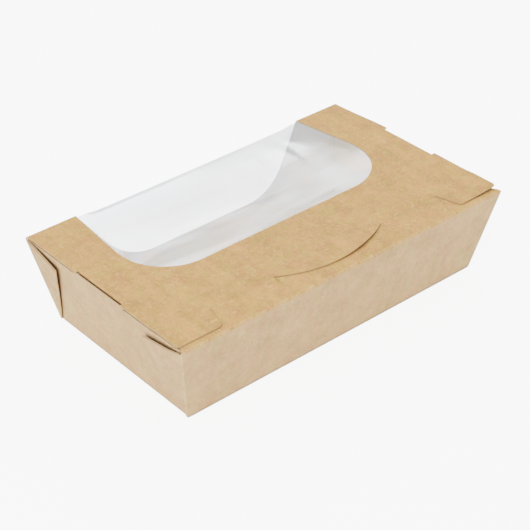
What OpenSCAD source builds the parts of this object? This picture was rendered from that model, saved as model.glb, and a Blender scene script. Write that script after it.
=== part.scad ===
// Takeaway box with a window, folded from one sheet of board, with one clear film glued inside it.
// Frame: the origin is on the table under the middle of the base. X runs along the box and Z points up.
// The lid's fold and the windowed wall are at +Y, and the closing flap is at -Y.

/* [Tray] */
// Length over the top folds
top_length = 200; // [190:1:230]
// Width over the top folds
top_width = 121; // [108:1:140]
// Length of the base
base_length = 182; // [160:1:194]
// Width of the base
base_width = 100; // [80:1:114]
// Height of the top face of the closed lid
height = 47.5; // [36:0.5:70]
// Thickness of the board
board = 0.45; // [0.3:0.05:0.6]

/* [Web corners] */
// Air between two layers of a folded corner
web_gap = 0.15; // [0.1:0.05:0.25]
// How far below the rim the doubling fold of a corner ends, down the wall
web_drop = 6.6; // [4:0.2:14]
// How far below the rim the top edge of a web starts at a corner of the box
web_start = 1.2; // [0.4:0.1:3]

/* [Window] */
// Board left between the widest part of the lid's window and the end fold
window_end_margin = 25; // [20:1:35]
// How much narrower the window is on each side where it crosses the lid's fold
window_fold_step = 4; // [0:0.5:8]
// Board left between the window and the near fold
window_near_margin = 50.5; // [46:0.5:54]
// Length of each side of the window, from its near edge to its widest part
window_side = 30.5; // [28:0.5:36]
// Radius of the window's corners in the lid
window_corner = 27; // [10:1:27]
// Board left between the window and the base, along the far wall
window_base_margin = 15; // [10:0.5:18]
// How far each side of the window leans in over the far wall
window_wall_taper = 24; // [10:1:28]
// Radius of the window's corners in the far wall
window_wall_corner = 32; // [8:1:34]

/* [Film] */
// Thickness of the film
film = 0.1; // [0.05:0.01:0.2]
// Width of the glued border around the window
film_glue = 6; // [3:0.5:8]
// Gap between the two stretches of film at the lid's fold
film_fold_gap = 0.8; // [0.4:0.1:1.5]

/* [Dust flaps] */
// Free space between a dust flap and the film
dust_clear = 2.5; // [1:0.5:5]
// Distance of a dust flap's ends from the long folds
dust_setback = 3; // [2:0.5:8]
// How much each end of a dust flap slants in
dust_taper = 6; // [0:1:12]
// Radius of a dust flap's corners
dust_corner = 3; // [1:0.5:4]

/* [Lid] */
// Distance of the lid's ends from the end folds
lid_end_setback = 0.5; // [0.3:0.1:2]
// Distance of the lid's near edge from the near fold
lid_near_setback = 3.5; // [2.5:0.5:5]
// Radius of the lid's near corners
lid_corner = 2; // [1:0.5:4]
// Width of an ear at the lid's near edge
ear_width = 25; // [18:0.5:30]
// How much wider an ear is where its slit ends
ear_flare = 3.5; // [0:0.5:6]
// Width of the knife cut in the board
cut = 0.4; // [0.3:0.1:0.8]
// Strip of lid left outside the lowest point of the arc slit
lock_strip = 4; // [3:0.5:5.5]
// Length of the slope between two levels of board at the lock
ramp_run = 7; // [4:0.5:12]
// Free space between the closing flap's edge and the slope
ramp_clear = 0.5; // [0.3:0.1:1.5]

/* [End tabs] */
// Length of an end tab
tab_length = 34; // [20:1:50]
// Depth of an end tab
tab_depth = 6; // [4:0.5:10]
// Distance of an end tab's middle from the lid's fold
tab_centre = 58; // [50:1:64]
// Free space between an end tab and the end wall
tab_gap = 0.4; // [0.3:0.1:0.8]
// Free space at each end of a tab in its slot
slot_clear = 2; // [1:0.5:4]
// Free space behind a tab's foot as it leaves its slot
tab_clear = 0.5; // [0.3:0.1:1.5]

/* [Closing flap] */
// Depth of the closing flap
flap_depth = 17; // [14:0.5:22]
// Distance of the flap's ends from the end folds
flap_end_setback = 1.2; // [0.5:0.1:4]
// How much each end of the flap slants in
flap_taper = 8; // [0:1:12]
// Radius of the flap's corners
flap_corner = 3; // [1:0.5:5]
// Width of the tongue at its root
tongue_width = 66; // [50:1:80]
// How far the tongue reaches past the flap's edge
tongue_reach = 10; // [8:0.5:15]
// How much each side of the tongue slants in
tongue_taper = 4; // [0:0.5:8]
// Radius of the tongue's corners
tongue_corner = 5; // [2:0.5:8]
// Length of the short slits in the flap's edge
slit_length = 7; // [3:0.5:10]
// Sideways lean of the short slits over their length
slit_lean = 1.4; // [0:0.2:2]

/* [Hidden] */

KRAFT = [0.80, 0.69, 0.53];
CLEAR = [0.86, 0.90, 0.92, 0.5];
ARC_STEPS = 8;
MOON_STEPS = 16;
OVERCUT = 1;

// Levels of board: the rim is where walls end and the closed lid lies
rim = height - board;
half_x = top_length / 2;
half_y = top_width / 2;
foot_x = base_length / 2;
foot_y = base_width / 2;

// Leans of the walls from upright, and their lengths up the slope
end_lean = atan((half_x - foot_x) / rim);
side_lean = atan((half_y - foot_y) / rim);
end_slope = rim / cos(end_lean);
side_slope = rim / cos(side_lean);

// Depths of the layers at an end, from the outermost layer of a web corner inwards
web_inner = board + web_gap;
wall_outer = 2 * web_inner;
wall_inner = wall_outer + board;

// The angle at a base corner that base and walls leave for the web, halved by its fold
long_panel_flare = atan((half_x - foot_x) / side_slope);
end_panel_flare = atan((half_y - foot_y) / end_slope);
web_half_angle = (90 - long_panel_flare - end_panel_flare) / 2;

// Plan places of the lock, measured from the near fold
near_fold = -half_y;
far_fold = half_y;
flap_edge = near_fold + flap_depth;
ramp_low = flap_edge + ramp_clear;
ramp_high = ramp_low + ramp_run;
lid_near = near_fold + lid_near_setback;
lid_end = half_x - lid_end_setback;
ear_near_x = lid_end - ear_width;
ear_far_x = ear_near_x - ear_flare;
tongue_half = tongue_width / 2;
moon_half = tongue_half + cut;
moon_depth = flap_edge - lid_near - lock_strip;

// Window and film
window_half = half_x - window_end_margin;
window_fold_half = window_half - window_fold_step;
window_near = near_fold + window_near_margin;
window_wide_y = window_near + window_side;
window_foot_half = window_fold_half - window_wall_taper;
film_half = window_half + film_glue;

// End tabs and their slots
wall_inner_x = half_x - wall_inner / cos(end_lean);
tab_x = wall_inner_x - tab_gap;
tab_thick_x = board / cos(end_lean);
tab_run = tab_depth * sin(end_lean);
slot_width = tab_gap + tab_thick_x + tab_run + tab_clear;
tab_y = far_fold - tab_centre;

// Points of an arc that rounds corner b between its neighbours a and c. A corner is [x, y, radius].
function corner_arc(a, b, c) =
    b[2] == 0 ? [[b[0], b[1]]] :
    let (
        p = [b[0], b[1]],
        u = ([a[0], a[1]] - p) / norm([a[0], a[1]] - p),
        v = ([c[0], c[1]] - p) / norm([c[0], c[1]] - p),
        half = acos(u * v) / 2,
        centre = p + (u + v) / norm(u + v) * b[2] / sin(half),
        from = p + u * b[2] / tan(half) - centre,
        to = p + v * b[2] / tan(half) - centre,
        start = atan2(from[1], from[0]),
        turn = atan2(from[0] * to[1] - from[1] * to[0], from * to)
    )
    [for (i = [0 : ARC_STEPS]) centre + b[2] * [cos(start + turn * i / ARC_STEPS), sin(start + turn * i / ARC_STEPS)]];

// Points of a closed outline with each of its corners rounded to that corner's radius
function rounded(corners) =
    let (n = len(corners))
    [for (i = [0 : n - 1]) each corner_arc(corners[(i + n - 1) % n], corners[i], corners[(i + 1) % n])];

// Corners on the right side, followed by the same corners on the left in reverse order
function both_sides(corners) =
    concat(corners, [for (i = [len(corners) - 1 : -1 : 0]) [-corners[i][0], corners[i][1], corners[i][2]]]);

// Points of the arc slit from left to right, deeper than the half-moon by extra
function moon_points(extra) =
    let (
        depth = moon_depth + extra,
        radius = (moon_half * moon_half + depth * depth) / (2 * depth),
        sweep = asin(moon_half / radius)
    )
    [for (i = [0 : MOON_STEPS])
        let (angle = sweep * (2 * i / MOON_STEPS - 1))
        [radius * sin(angle), flap_edge + radius - depth - radius * cos(angle)]];

// The window's side at a fold, carried on past the fold in a straight line from the corner at its other end
function past_fold(x, y, other) =
    [x + (x - other[0]) * OVERCUT / abs(y - other[1]), y + OVERCUT, 0];

// Outline of the window in the lid, grown by the glued border for the film
function lid_window_points(grow) = rounded(both_sides([
    past_fold(window_fold_half + grow, far_fold, [window_half + grow, window_wide_y]),
    [window_half + grow, window_wide_y, 0],
    [window_half + grow, window_near - grow, window_corner + grow]
]));

// Outline of the window in the far wall, with y up the slope from the base fold
function wall_window_points(grow) = rounded(both_sides([
    past_fold(window_fold_half + grow, side_slope, [window_foot_half + grow, window_base_margin - grow]),
    [window_foot_half + grow, window_base_margin - grow, window_wall_corner + grow]
]));

// A web corner seen square to the end wall: y is across the box, and z is up the slope from the base fold
web_foot = [foot_y, 0];
web_top = web_foot + (1 - web_start / end_slope) * ([half_y, end_slope] - web_foot);
web_fold_angle = web_half_angle - end_panel_flare;
web_fold_length = (end_slope - web_drop) / cos(web_fold_angle);
web_tip = web_foot + web_fold_length * [-sin(web_fold_angle), cos(web_fold_angle)];
web_fold_side = board * [cos(web_fold_angle), sin(web_fold_angle)];

// Everything between the end planes, each moved in by inset, up to the rim
module between_ends(inset) {
    x_in = inset / cos(end_lean);
    rotate([90, 0, 0])
        linear_extrude(2 * top_width, center = true)
            polygon([
                [-(foot_x - x_in), 0],
                [foot_x - x_in, 0],
                [half_x - x_in, rim],
                [-(half_x - x_in), rim]
            ]);
}

// Everything between the side planes, each moved in by inset, up to the rim
module between_sides(inset) {
    y_in = inset / cos(side_lean);
    rotate([90, 0, 90])
        linear_extrude(2 * top_length, center = true)
            polygon([
                [-(foot_y - y_in), 0],
                [foot_y - y_in, 0],
                [half_y - y_in, rim],
                [-(half_y - y_in), rim]
            ]);
}

// The layer of the right end between two depths, as wide as needed
module end_layer(outer, inner) {
    x_out = outer / cos(end_lean);
    x_in = inner / cos(end_lean);
    rotate([90, 0, 0])
        linear_extrude(2 * top_width, center = true)
            polygon([
                [foot_x - x_out, 0],
                [half_x - x_out, rim],
                [half_x - x_in, rim],
                [foot_x - x_in, 0]
            ]);
}

// The layer of the far side between two depths, as long as needed
module side_layer(outer, inner) {
    y_out = outer / cos(side_lean);
    y_in = inner / cos(side_lean);
    rotate([90, 0, 90])
        linear_extrude(2 * top_length, center = true)
            polygon([
                [foot_y - y_out, 0],
                [half_y - y_out, rim],
                [half_y - y_in, rim],
                [foot_y - y_in, 0]
            ]);
}

// An outline drawn square to the right end wall, cut through all of its layers
module through_end(points) {
    translate([foot_x, 0, 0])
        rotate([0, end_lean, 0])
            rotate([90, 0, 90])
                translate([0, 0, -wall_inner - OVERCUT])
                    linear_extrude(wall_inner + 2 * OVERCUT)
                        polygon(points);
}

// An outline drawn square to the far wall, cut through the wall and the film
module through_far_wall(points) {
    translate([0, foot_y, 0])
        rotate([-side_lean, 0, 0])
            rotate([90, 0, 0])
                linear_extrude(2 * (board + film + OVERCUT), center = true)
                    polygon(points);
}

// A flat outline cut through every level of board at the lid
module through_lid(points) {
    translate([0, 0, rim - board - OVERCUT])
        linear_extrude(3 * board + 2 * OVERCUT)
            polygon(points);
}

// Board that runs level at the rim and slopes to another level at the lock, up to the near fold
module sloping_board(from_rise, to_rise) {
    rear = far_fold + OVERCUT;
    front = near_fold;
    rotate([90, 0, 90])
        linear_extrude(2 * top_length, center = true)
            polygon([
                [rear, rim + from_rise],
                [ramp_high, rim + from_rise],
                [ramp_low, rim + to_rise],
                [front, rim + to_rise],
                [front, rim + to_rise + board],
                [ramp_low, rim + to_rise + board],
                [ramp_high, rim + from_rise + board],
                [rear, rim + from_rise + board]
            ]);
}

module base_panel() {
    length = base_length - 2 * wall_outer / cos(end_lean);
    translate([-length / 2, -foot_y, 0])
        cube([length, base_width, board]);
}

module plain_long_wall() {
    intersection() {
        side_layer(0, board);
        between_ends(0);
    }
}

module far_wall() {
    difference() {
        plain_long_wall();
        through_far_wall(wall_window_points(0));
    }
}

module near_wall() {
    mirror([0, 1, 0])
        plain_long_wall();
}

module end_wall() {
    intersection() {
        end_layer(wall_outer, wall_inner);
        between_sides(web_inner);
    }
}

// One corner web: an outer layer from the long wall, doubled back on its fold under itself to the end wall
module web_corner() {
    outline = [web_foot, web_top, web_tip];
    fold = [web_foot, web_foot + web_fold_side, web_tip + web_fold_side, web_tip];
    intersection() {
        end_layer(0, board);
        through_end(outline);
    }
    intersection() {
        end_layer(web_inner, web_inner + board);
        through_end(outline);
        between_sides(web_inner);
    }
    intersection() {
        end_layer(0, web_inner + board);
        through_end(outline);
        through_end(fold);
    }
    intersection() {
        end_layer(web_inner, wall_inner);
        side_layer(web_inner, web_inner + board);
    }
}

// A dust flap folded in under the lid, with the slot that takes the lid's end tab
module dust_flap() {
    fold_x = wall_inner_x + tab_thick_x / 2;
    free_x = film_half + dust_clear;
    end_y = half_y - dust_setback;
    slot_length = tab_length + 2 * slot_clear;
    translate([0, 0, rim - board])
        linear_extrude(board)
            difference() {
                polygon(rounded([
                    [fold_x, end_y, 0],
                    [free_x, end_y - dust_taper, dust_corner],
                    [free_x, -end_y + dust_taper, dust_corner],
                    [fold_x, -end_y, 0]
                ]));
                translate([wall_inner_x - slot_width, tab_y - slot_length / 2])
                    square([slot_width, slot_length]);
            }
}

module one_end() {
    end_wall();
    dust_flap();
    web_corner();
    mirror([0, 1, 0])
        web_corner();
}

module tray() {
    color(KRAFT)
        union() {
            base_panel();
            far_wall();
            near_wall();
            one_end();
            mirror([1, 0, 0])
                one_end();
        }
}

// The flat part of the lid behind the lock, with the window and the notches over the end tabs
module lid_panel() {
    notch_high = tab_y + tab_length / 2 + cut;
    notch_low = tab_y - tab_length / 2 - cut;
    translate([0, 0, rim])
        linear_extrude(board)
            difference() {
                polygon(rounded(both_sides([
                    [lid_end, far_fold, 0],
                    [lid_end, notch_high, 0],
                    [tab_x, notch_high, 0],
                    [tab_x, notch_low, 0],
                    [lid_end, notch_low, 0],
                    [lid_end, ramp_high, 0]
                ])));
                polygon(lid_window_points(0));
            }
}

// An ear of the lid, which lies over the closing flap's end
module ear() {
    intersection() {
        sloping_board(0, board);
        through_lid(rounded([
            [ear_far_x, ramp_high + OVERCUT, 0],
            [lid_end, ramp_high + OVERCUT, 0],
            [lid_end, lid_near, lid_corner],
            [ear_near_x, lid_near, lid_corner],
            [ear_far_x, flap_edge, 0]
        ]));
    }
}

// The lid between an ear and the half-moon, which goes under the closing flap
module tucked_part() {
    intersection() {
        sloping_board(0, -board);
        through_lid([
            [moon_half, ramp_high + OVERCUT],
            [ear_far_x, ramp_high + OVERCUT],
            [ear_far_x, flap_edge],
            [ear_far_x - cut, flap_edge],
            [ear_near_x - cut, lid_near],
            [moon_half, lid_near]
        ]);
    }
}

// The half-moon over the tongue, and the strip of lid outside the arc slit, which goes under the tongue
module half_moon() {
    intersection() {
        sloping_board(0, board);
        through_lid(concat(
            moon_points(0),
            [[moon_half, ramp_high + OVERCUT], [-moon_half, ramp_high + OVERCUT]]
        ));
    }
    intersection() {
        sloping_board(0, -board);
        through_lid(concat(
            moon_points(cut),
            [[moon_half + cut, lid_near], [-moon_half - cut, lid_near]]
        ));
    }
}

// A tab folded down from the lid's end, which stands in the slot beside the end wall
module end_tab() {
    foot_z = rim - tab_depth * cos(end_lean);
    translate([0, tab_y, 0])
        rotate([90, 0, 0])
            linear_extrude(tab_length, center = true)
                polygon([
                    [tab_x, rim + board],
                    [tab_x, rim],
                    [tab_x - tab_run, foot_z],
                    [tab_x - tab_run - tab_thick_x, foot_z],
                    [tab_x - tab_thick_x, rim],
                    [tab_x - tab_thick_x, rim + board]
                ]);
}

module lid_side() {
    ear();
    tucked_part();
    end_tab();
}

module lid() {
    color(KRAFT)
        union() {
            lid_panel();
            half_moon();
            lid_side();
            mirror([1, 0, 0])
                lid_side();
        }
}

// A short slit that runs from the flap's edge towards its fold, leaning sideways
module short_slit(x, lean) {
    through_lid([
        [x - cut / 2, flap_edge + OVERCUT],
        [x + cut / 2, flap_edge + OVERCUT],
        [x + lean + cut / 2, flap_edge - slit_length],
        [x + lean - cut / 2, flap_edge - slit_length]
    ]);
}

module flap_slits() {
    short_slit(tongue_half + cut / 2, slit_lean);
    short_slit(ear_far_x - cut / 2, -slit_lean);
}

module closing_flap() {
    fold_end = half_x - flap_end_setback;
    color(KRAFT)
        difference() {
            intersection() {
                sloping_board(-board, 0);
                through_lid(rounded(both_sides([
                    [fold_end, near_fold, 0],
                    [fold_end - flap_taper, flap_edge, flap_corner],
                    [tongue_half, flap_edge, 0],
                    [tongue_half - tongue_taper, flap_edge + tongue_reach, tongue_corner]
                ])));
            }
            flap_slits();
            mirror([1, 0, 0])
                flap_slits();
        }
}

module lid_window_film() {
    color(CLEAR)
        translate([0, 0, rim - film])
            linear_extrude(film)
                difference() {
                    polygon(lid_window_points(film_glue));
                    translate([-top_length, far_fold - film_fold_gap])
                        square([2 * top_length, top_width]);
                }
}

module wall_window_film() {
    color(CLEAR)
        intersection() {
            side_layer(board, board + film);
            through_far_wall(wall_window_points(film_glue));
            translate([-half_x, 0, 0])
                cube([top_length, top_width, rim - film_fold_gap / 2]);
        }
}

tray();
lid();
closing_flap();
lid_window_film();
wall_window_film();
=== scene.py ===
"""Takeaway box with a window: its visual model, its finishes, the studio and the camera.

The box is a folded sheet of board with a clear film glued inside. Each piece of board is built as the
printed face of the sheet, panel by panel, with a rounded fold between two panels, and then gets the
board's thickness. Lengths inside the builders are millimetres in the part's frame, and meshes are made
in metres.
"""

from __future__ import annotations

import logging
import math
from dataclasses import dataclass
from enum import Enum
from typing import Callable, Sequence

import bmesh
import bpy
import numpy as np
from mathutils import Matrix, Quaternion, Vector
from mathutils.geometry import delaunay_2d_cdt


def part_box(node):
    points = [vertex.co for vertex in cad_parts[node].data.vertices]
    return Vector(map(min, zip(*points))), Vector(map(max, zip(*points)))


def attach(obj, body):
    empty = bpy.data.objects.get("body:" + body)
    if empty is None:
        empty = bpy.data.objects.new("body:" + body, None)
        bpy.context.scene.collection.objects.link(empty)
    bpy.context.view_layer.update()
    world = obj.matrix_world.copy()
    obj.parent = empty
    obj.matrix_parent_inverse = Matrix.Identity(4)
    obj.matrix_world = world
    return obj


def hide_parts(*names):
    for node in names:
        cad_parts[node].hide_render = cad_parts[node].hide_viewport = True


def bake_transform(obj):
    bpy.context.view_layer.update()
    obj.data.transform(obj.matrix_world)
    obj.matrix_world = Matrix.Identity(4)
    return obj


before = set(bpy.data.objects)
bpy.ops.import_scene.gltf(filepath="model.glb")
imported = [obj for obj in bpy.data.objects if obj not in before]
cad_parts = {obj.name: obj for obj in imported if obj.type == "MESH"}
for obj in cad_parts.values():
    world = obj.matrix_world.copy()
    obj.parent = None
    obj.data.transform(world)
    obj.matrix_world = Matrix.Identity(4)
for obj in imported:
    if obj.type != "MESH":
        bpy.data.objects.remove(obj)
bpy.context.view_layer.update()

LOG = logging.getLogger("takeaway_box")
MM = 0.001
UP = Vector((0, 0, 1)).freeze()
DOWN = Vector((0, 0, -1)).freeze()

# Points of an outline closer than this are one point, in millimetres.
SAME_POINT = 1e-4
# Panels and folds share points that are closer than this, in millimetres.
WELD = 0.004
# Smallest triangle that is kept, as twice its area in square millimetres.
SLIVER = 2e-3
# Distance between two rows of points, as a share of the distance between two points.
ROW_SHARE = 0.866
# How far the points inside stay from an outline, as a share of the distance between two points.
EDGE_SHARE = 0.4
# Longest distance between two points of an outline, in millimetres.
POINT_PITCH = 3.0
# Distance at which the triangulation takes two points as one, in millimetres.
TRIANGLE_TOLERANCE = 1e-5
# A height up any wall of the box that lies between its folds, in millimetres.
WALL_MIDDLE = 20.0
# Angle above which an edge stays sharp, in degrees.
SHARP_EDGE = 33.0
# Corner points of the floor, as signs of its half width.
SQUARE = ((-1, -1), (1, -1), (1, 1), (-1, 1))

Point = tuple[float, float]
Triple = tuple[float, float, float]
Place = Callable[[Point], Vector]
Input = bpy.types.NodeSocket | float | Triple


class Side(Enum):
    """Which end of the box a part belongs to."""

    LEFT = -1.0
    RIGHT = 1.0


class Slot(Enum):
    """Order of the materials on a piece of board."""

    PRINTED = 0
    INNER = 1
    CUT = 2


@dataclass(frozen=True)
class BoxSizes:
    """Sizes of the folded box in millimetres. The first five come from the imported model."""

    half_x: float
    half_y: float
    rim: float
    board: float
    film_half: float
    foot_x: float = 91.0
    foot_y: float = 50.0
    web_gap: float = 0.15
    web_drop: float = 6.6
    web_start: float = 1.2
    fold_radius: float = 0.9
    end_fold_radius: float = 0.6
    corner_radius: float = 0.8
    foot_shift: float = 0.6
    dust_clear: float = 2.5
    dust_setback: float = 3.0
    dust_taper: float = 6.0
    dust_corner: float = 3.0
    dust_slope: float = 0.03
    lid_end_setback: float = 1.1
    lid_near_setback: float = 3.5
    lid_corner: float = 2.0
    ear_width: float = 24.4
    ear_flare: float = 3.5
    ear_slit_tip: float = 1.2
    cut: float = 0.3
    lock_strip: float = 4.0
    layer_gap: float = 0.06
    ramp_start: float = 0.5
    ramp_run: float = 7.0
    tab_half: float = 17.0
    tab_depth: float = 6.0
    tab_y: float = 2.5
    tab_gap: float = 1.0
    tab_corner: float = 1.5
    slot_clear: float = 2.0
    slot_width: float = 2.5
    flap_depth: float = 17.0
    flap_end_setback: float = 1.2
    flap_taper: float = 8.0
    flap_corner: float = 3.0
    tongue_half: float = 33.0
    tongue_reach: float = 10.0
    tongue_taper: float = 4.0
    tongue_corner: float = 5.0
    slit_length: float = 7.0
    slit_lean: float = 1.4
    slit_tip: float = 0.06
    window_fold_half: float = 71.0
    window_half: float = 75.0
    window_near_margin: float = 50.5
    window_side: float = 30.5
    window_corner: float = 27.0
    window_foot_half: float = 47.0
    window_base_margin: float = 15.0
    window_wall_corner: float = 32.0
    film_glue: float = 6.0
    film_gap: float = 0.03
    film_thickness: float = 0.06
    film_edge_radius: float = 0.5

    @classmethod
    def from_frame(cls) -> BoxSizes:
        """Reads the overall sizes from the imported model.

        Returns:
            The sizes of the box, in millimetres.
        """
        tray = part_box("tray")[1] / MM
        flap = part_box("closing_flap")[1] / MM
        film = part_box("lid_window_film")[1] / MM
        return cls(tray.x, tray.y, tray.z, flap.z - tray.z, film.x)

    @property
    def height(self) -> float:
        """Height of the closed lid's printed face."""
        return self.rim + self.board

    @property
    def end_lean(self) -> float:
        """Lean of the end walls from upright, in radians."""
        return math.atan2(self.half_x - self.foot_x, self.rim)

    @property
    def side_lean(self) -> float:
        """Lean of the long walls from upright, in radians."""
        return math.atan2(self.half_y - self.foot_y, self.rim)

    @property
    def end_slope(self) -> float:
        """Length of an end wall up its slope."""
        return self.rim / math.cos(self.end_lean)

    @property
    def side_slope(self) -> float:
        """Length of a long wall up its slope."""
        return self.rim / math.cos(self.side_lean)

    @property
    def web_inner(self) -> float:
        """Depth of the inner layer of a web corner."""
        return self.board + self.web_gap

    @property
    def wall_depth(self) -> float:
        """Depth of an end wall behind the plane of its web corners."""
        return 2 * self.web_inner

    @property
    def flap_edge(self) -> float:
        """Place of the closing flap's edge across the box."""
        return self.flap_depth - self.half_y

    @property
    def ramp_low(self) -> float:
        """Place across the box where the lid begins to leave its heights at the lock."""
        return self.flap_edge + self.ramp_start

    @property
    def ramp_high(self) -> float:
        """Place across the box where the lid runs level again behind the lock."""
        return self.ramp_low + self.ramp_run

    @property
    def lid_end(self) -> float:
        """Place of the lid's end along the box."""
        return self.half_x - self.lid_end_setback

    @property
    def lid_near(self) -> float:
        """Place of the lid's near edge across the box."""
        return self.lid_near_setback - self.half_y

    @property
    def ear_near_x(self) -> float:
        """Inner end of an ear at the lid's near edge."""
        return self.lid_end - self.ear_width

    @property
    def ear_far_x(self) -> float:
        """Inner end of an ear where its slit ends."""
        return self.ear_near_x - self.ear_flare

    @property
    def moon_half(self) -> float:
        """Half the width of the half-moon."""
        return self.tongue_half + self.cut

    @property
    def moon_depth(self) -> float:
        """Depth of the half-moon from the flap's edge."""
        return self.flap_edge - self.lid_near - self.lock_strip

    @property
    def window_near(self) -> float:
        """Near edge of the window in the lid."""
        return self.window_near_margin - self.half_y

    @property
    def top_corner_y(self) -> float:
        """Where the printed faces of a long wall and the closed lid would meet without a rounded fold."""
        return self.foot_y + self.height * math.tan(self.side_lean)

    @property
    def top_corner_v(self) -> float:
        """The same corner, measured up the slope of the wall."""
        return self.height / math.cos(self.side_lean)

    @property
    def top_turn(self) -> float:
        """Turn of the fold between a long wall and the lid, in radians."""
        return math.pi / 2 + self.side_lean

    @property
    def top_trim(self) -> float:
        """How far before that corner the fold begins."""
        return fold_trim(self.fold_radius, self.top_turn)

    @property
    def end_fold_trim(self) -> float:
        """How far before its corner the fold of a dust flap or of an end tab begins."""
        return fold_trim(self.end_fold_radius, math.pi / 2 + self.end_lean)

    @property
    def wall_inner(self) -> float:
        """Place along the box of an end wall's inner face at the rim."""
        return self.half_x - (self.wall_depth + self.board) / math.cos(self.end_lean)

    @property
    def tab_outer(self) -> float:
        """Place along the box where the printed faces of the lid and of an end tab would meet."""
        return self.wall_inner - self.tab_gap + self.board * math.tan(self.end_lean)


@dataclass(frozen=True)
class WebSet:
    """How a web corner was set by hand: its fold's turn, and how far its tip stands off the end wall."""

    turn: float
    lift: float
    reach: float
    full_at: float = 0.7
    bend: float = 1.3


@dataclass(frozen=True)
class HandMade:
    """What use and folding did to the photographed box, in millimetres, degrees and shares."""

    lid_lift: float = 1.75
    lid_lift_at: float = 18.0
    lid_lift_fade: float = 0.35
    lid_lift_start: float = 35.0
    lid_lift_delay: float = 38.0
    lid_lift_delay_at: float = 10.0
    lid_lift_bend: float = 1.6
    moon_lift: float = 1.15
    moon_lift_at: float = 22.0
    moon_lift_spread: float = 0.55
    film_radius: float = 2.4
    far_web: WebSet = WebSet(turn=-2.0, lift=1.6, reach=25.0)
    near_web: WebSet = WebSet(turn=3.5, lift=1.0, reach=9.0)
    end_drop: float = 1.5
    film_wave: float = 0.8
    film_wave_size: float = 55.0
    film_crease: float = 0.75
    film_crease_size: float = 32.0
    lead: float = 0.35


def fold_trim(radius: float, turn: float) -> float:
    """How far before its corner a fold of this radius and turn begins."""
    return radius * math.tan(turn / 2)


def steps_between(low: float, high: float, count: int) -> list[float]:
    """A number of even steps between two values, both included."""
    return [low + (high - low) * i / count for i in range(count + 1)]


def bezier(start: Vector, first: Vector, second: Vector, end: Vector, t: float) -> Vector:
    """A point of the curve between two points with a handle each, at a share t of its run."""
    u = 1 - t
    return start * u**3 + first * 3 * t * u**2 + second * 3 * t * t * u + end * t**3


def smooth_between(value: float, low: float, high: float) -> float:
    """A smooth step.

    Args:
        value: Where the step is read.
        low: Place where it is still 0.
        high: Place where it becomes 1.

    Returns:
        A share between 0 and 1.
    """
    share = min(1.0, max(0.0, (value - low) / (high - low)))
    return share * share * (3 - 2 * share)


def line(start: Point, end: Point) -> list[Point]:
    """Points along a straight line, both ends included.

    Args:
        start: First point.
        end: Last point.

    Returns:
        The points in order.
    """
    count = max(1, math.ceil(math.dist(start, end) / POINT_PITCH))
    return [
        (
            start[0] + (end[0] - start[0]) * i / count,
            start[1] + (end[1] - start[1]) * i / count,
        )
        for i in range(count + 1)
    ]


def corner_arc(before: Point, corner: Point, after: Point, radius: float, steps: int = 8) -> list[Point]:
    """Points of the arc that rounds a corner between its two neighbours.

    Args:
        before: The corner before it.
        corner: The corner to round.
        after: The corner after it.
        radius: Radius of the arc.
        steps: Number of chords.

    Returns:
        The points of the arc in order.
    """
    here = Vector(corner)
    u = (Vector(before) - here).normalized()
    v = (Vector(after) - here).normalized()
    half = u.angle(v) / 2
    centre = here + (u + v).normalized() * radius / math.sin(half)
    first = here + u * radius / math.tan(half) - centre
    last = here + v * radius / math.tan(half) - centre
    turn = math.atan2(first.cross(last), first.dot(last))
    start = math.atan2(first.y, first.x)
    return [
        (
            centre.x + radius * math.cos(start + turn * i / steps),
            centre.y + radius * math.sin(start + turn * i / steps),
        )
        for i in range(steps + 1)
    ]


def chain(*runs: Sequence[Point]) -> list[Point]:
    """Joins runs of points into one closed outline with no long gap between two points.

    Args:
        runs: Runs of points, in order round the outline.

    Returns:
        The outline, without its first point repeated at the end.
    """
    corners = [p for run in runs for p in run]
    outline: list[Point] = []
    for i, here in enumerate(corners):
        after = corners[(i + 1) % len(corners)]
        if math.dist(here, after) < SAME_POINT:
            continue
        outline.extend(line(here, after)[:-1])
    return outline


def mirrored(run: Sequence[Point]) -> list[Point]:
    """The same run on the other side of the middle, in reverse order."""
    return [(-x, y) for x, y in reversed(run)]


def inside(points: np.ndarray, outline: Sequence[Point]) -> np.ndarray:
    """Tells which points lie inside an outline.

    Args:
        points: An array of points, one in each row.
        outline: The closed outline.

    Returns:
        True or False for each point.
    """
    found = np.zeros(len(points), bool)
    ring = np.array(outline)
    for (x0, y0), (x1, y1) in zip(ring, np.roll(ring, -1, axis=0)):
        crosses = (y0 > points[:, 1]) != (y1 > points[:, 1])
        with np.errstate(divide="ignore", invalid="ignore"):
            at = (x1 - x0) * (points[:, 1] - y0) / (y1 - y0) + x0
        found ^= crosses & (points[:, 0] < at)
    return found


def clearance(points: np.ndarray, outline: Sequence[Point]) -> np.ndarray:
    """Measures how far points are from an outline.

    Args:
        points: An array of points, one in each row.
        outline: The closed outline.

    Returns:
        The distance from each point.
    """
    ring = np.array(outline)
    best = np.full(len(points), np.inf)
    for a, b in zip(ring, np.roll(ring, -1, axis=0)):
        d = b - a
        share = np.clip(((points - a) @ d) / max(d @ d, 1e-12), 0, 1)
        best = np.minimum(best, np.linalg.norm(points - a - share[:, None] * d, axis=1))
    return best


def staggered(low: np.ndarray, high: np.ndarray, pitch: float) -> np.ndarray:
    """Fills a rectangle with points in staggered rows.

    Args:
        low: Its lowest corner.
        high: Its highest corner.
        pitch: Distance between two points of a row.

    Returns:
        The points, one in each row of the array.
    """
    rows = np.arange(low[1], high[1], pitch * ROW_SHARE)
    columns = np.arange(low[0], high[0], pitch)
    return np.array([(x + (r % 2) * pitch / 2, y) for r, y in enumerate(rows) for x in columns])


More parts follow.
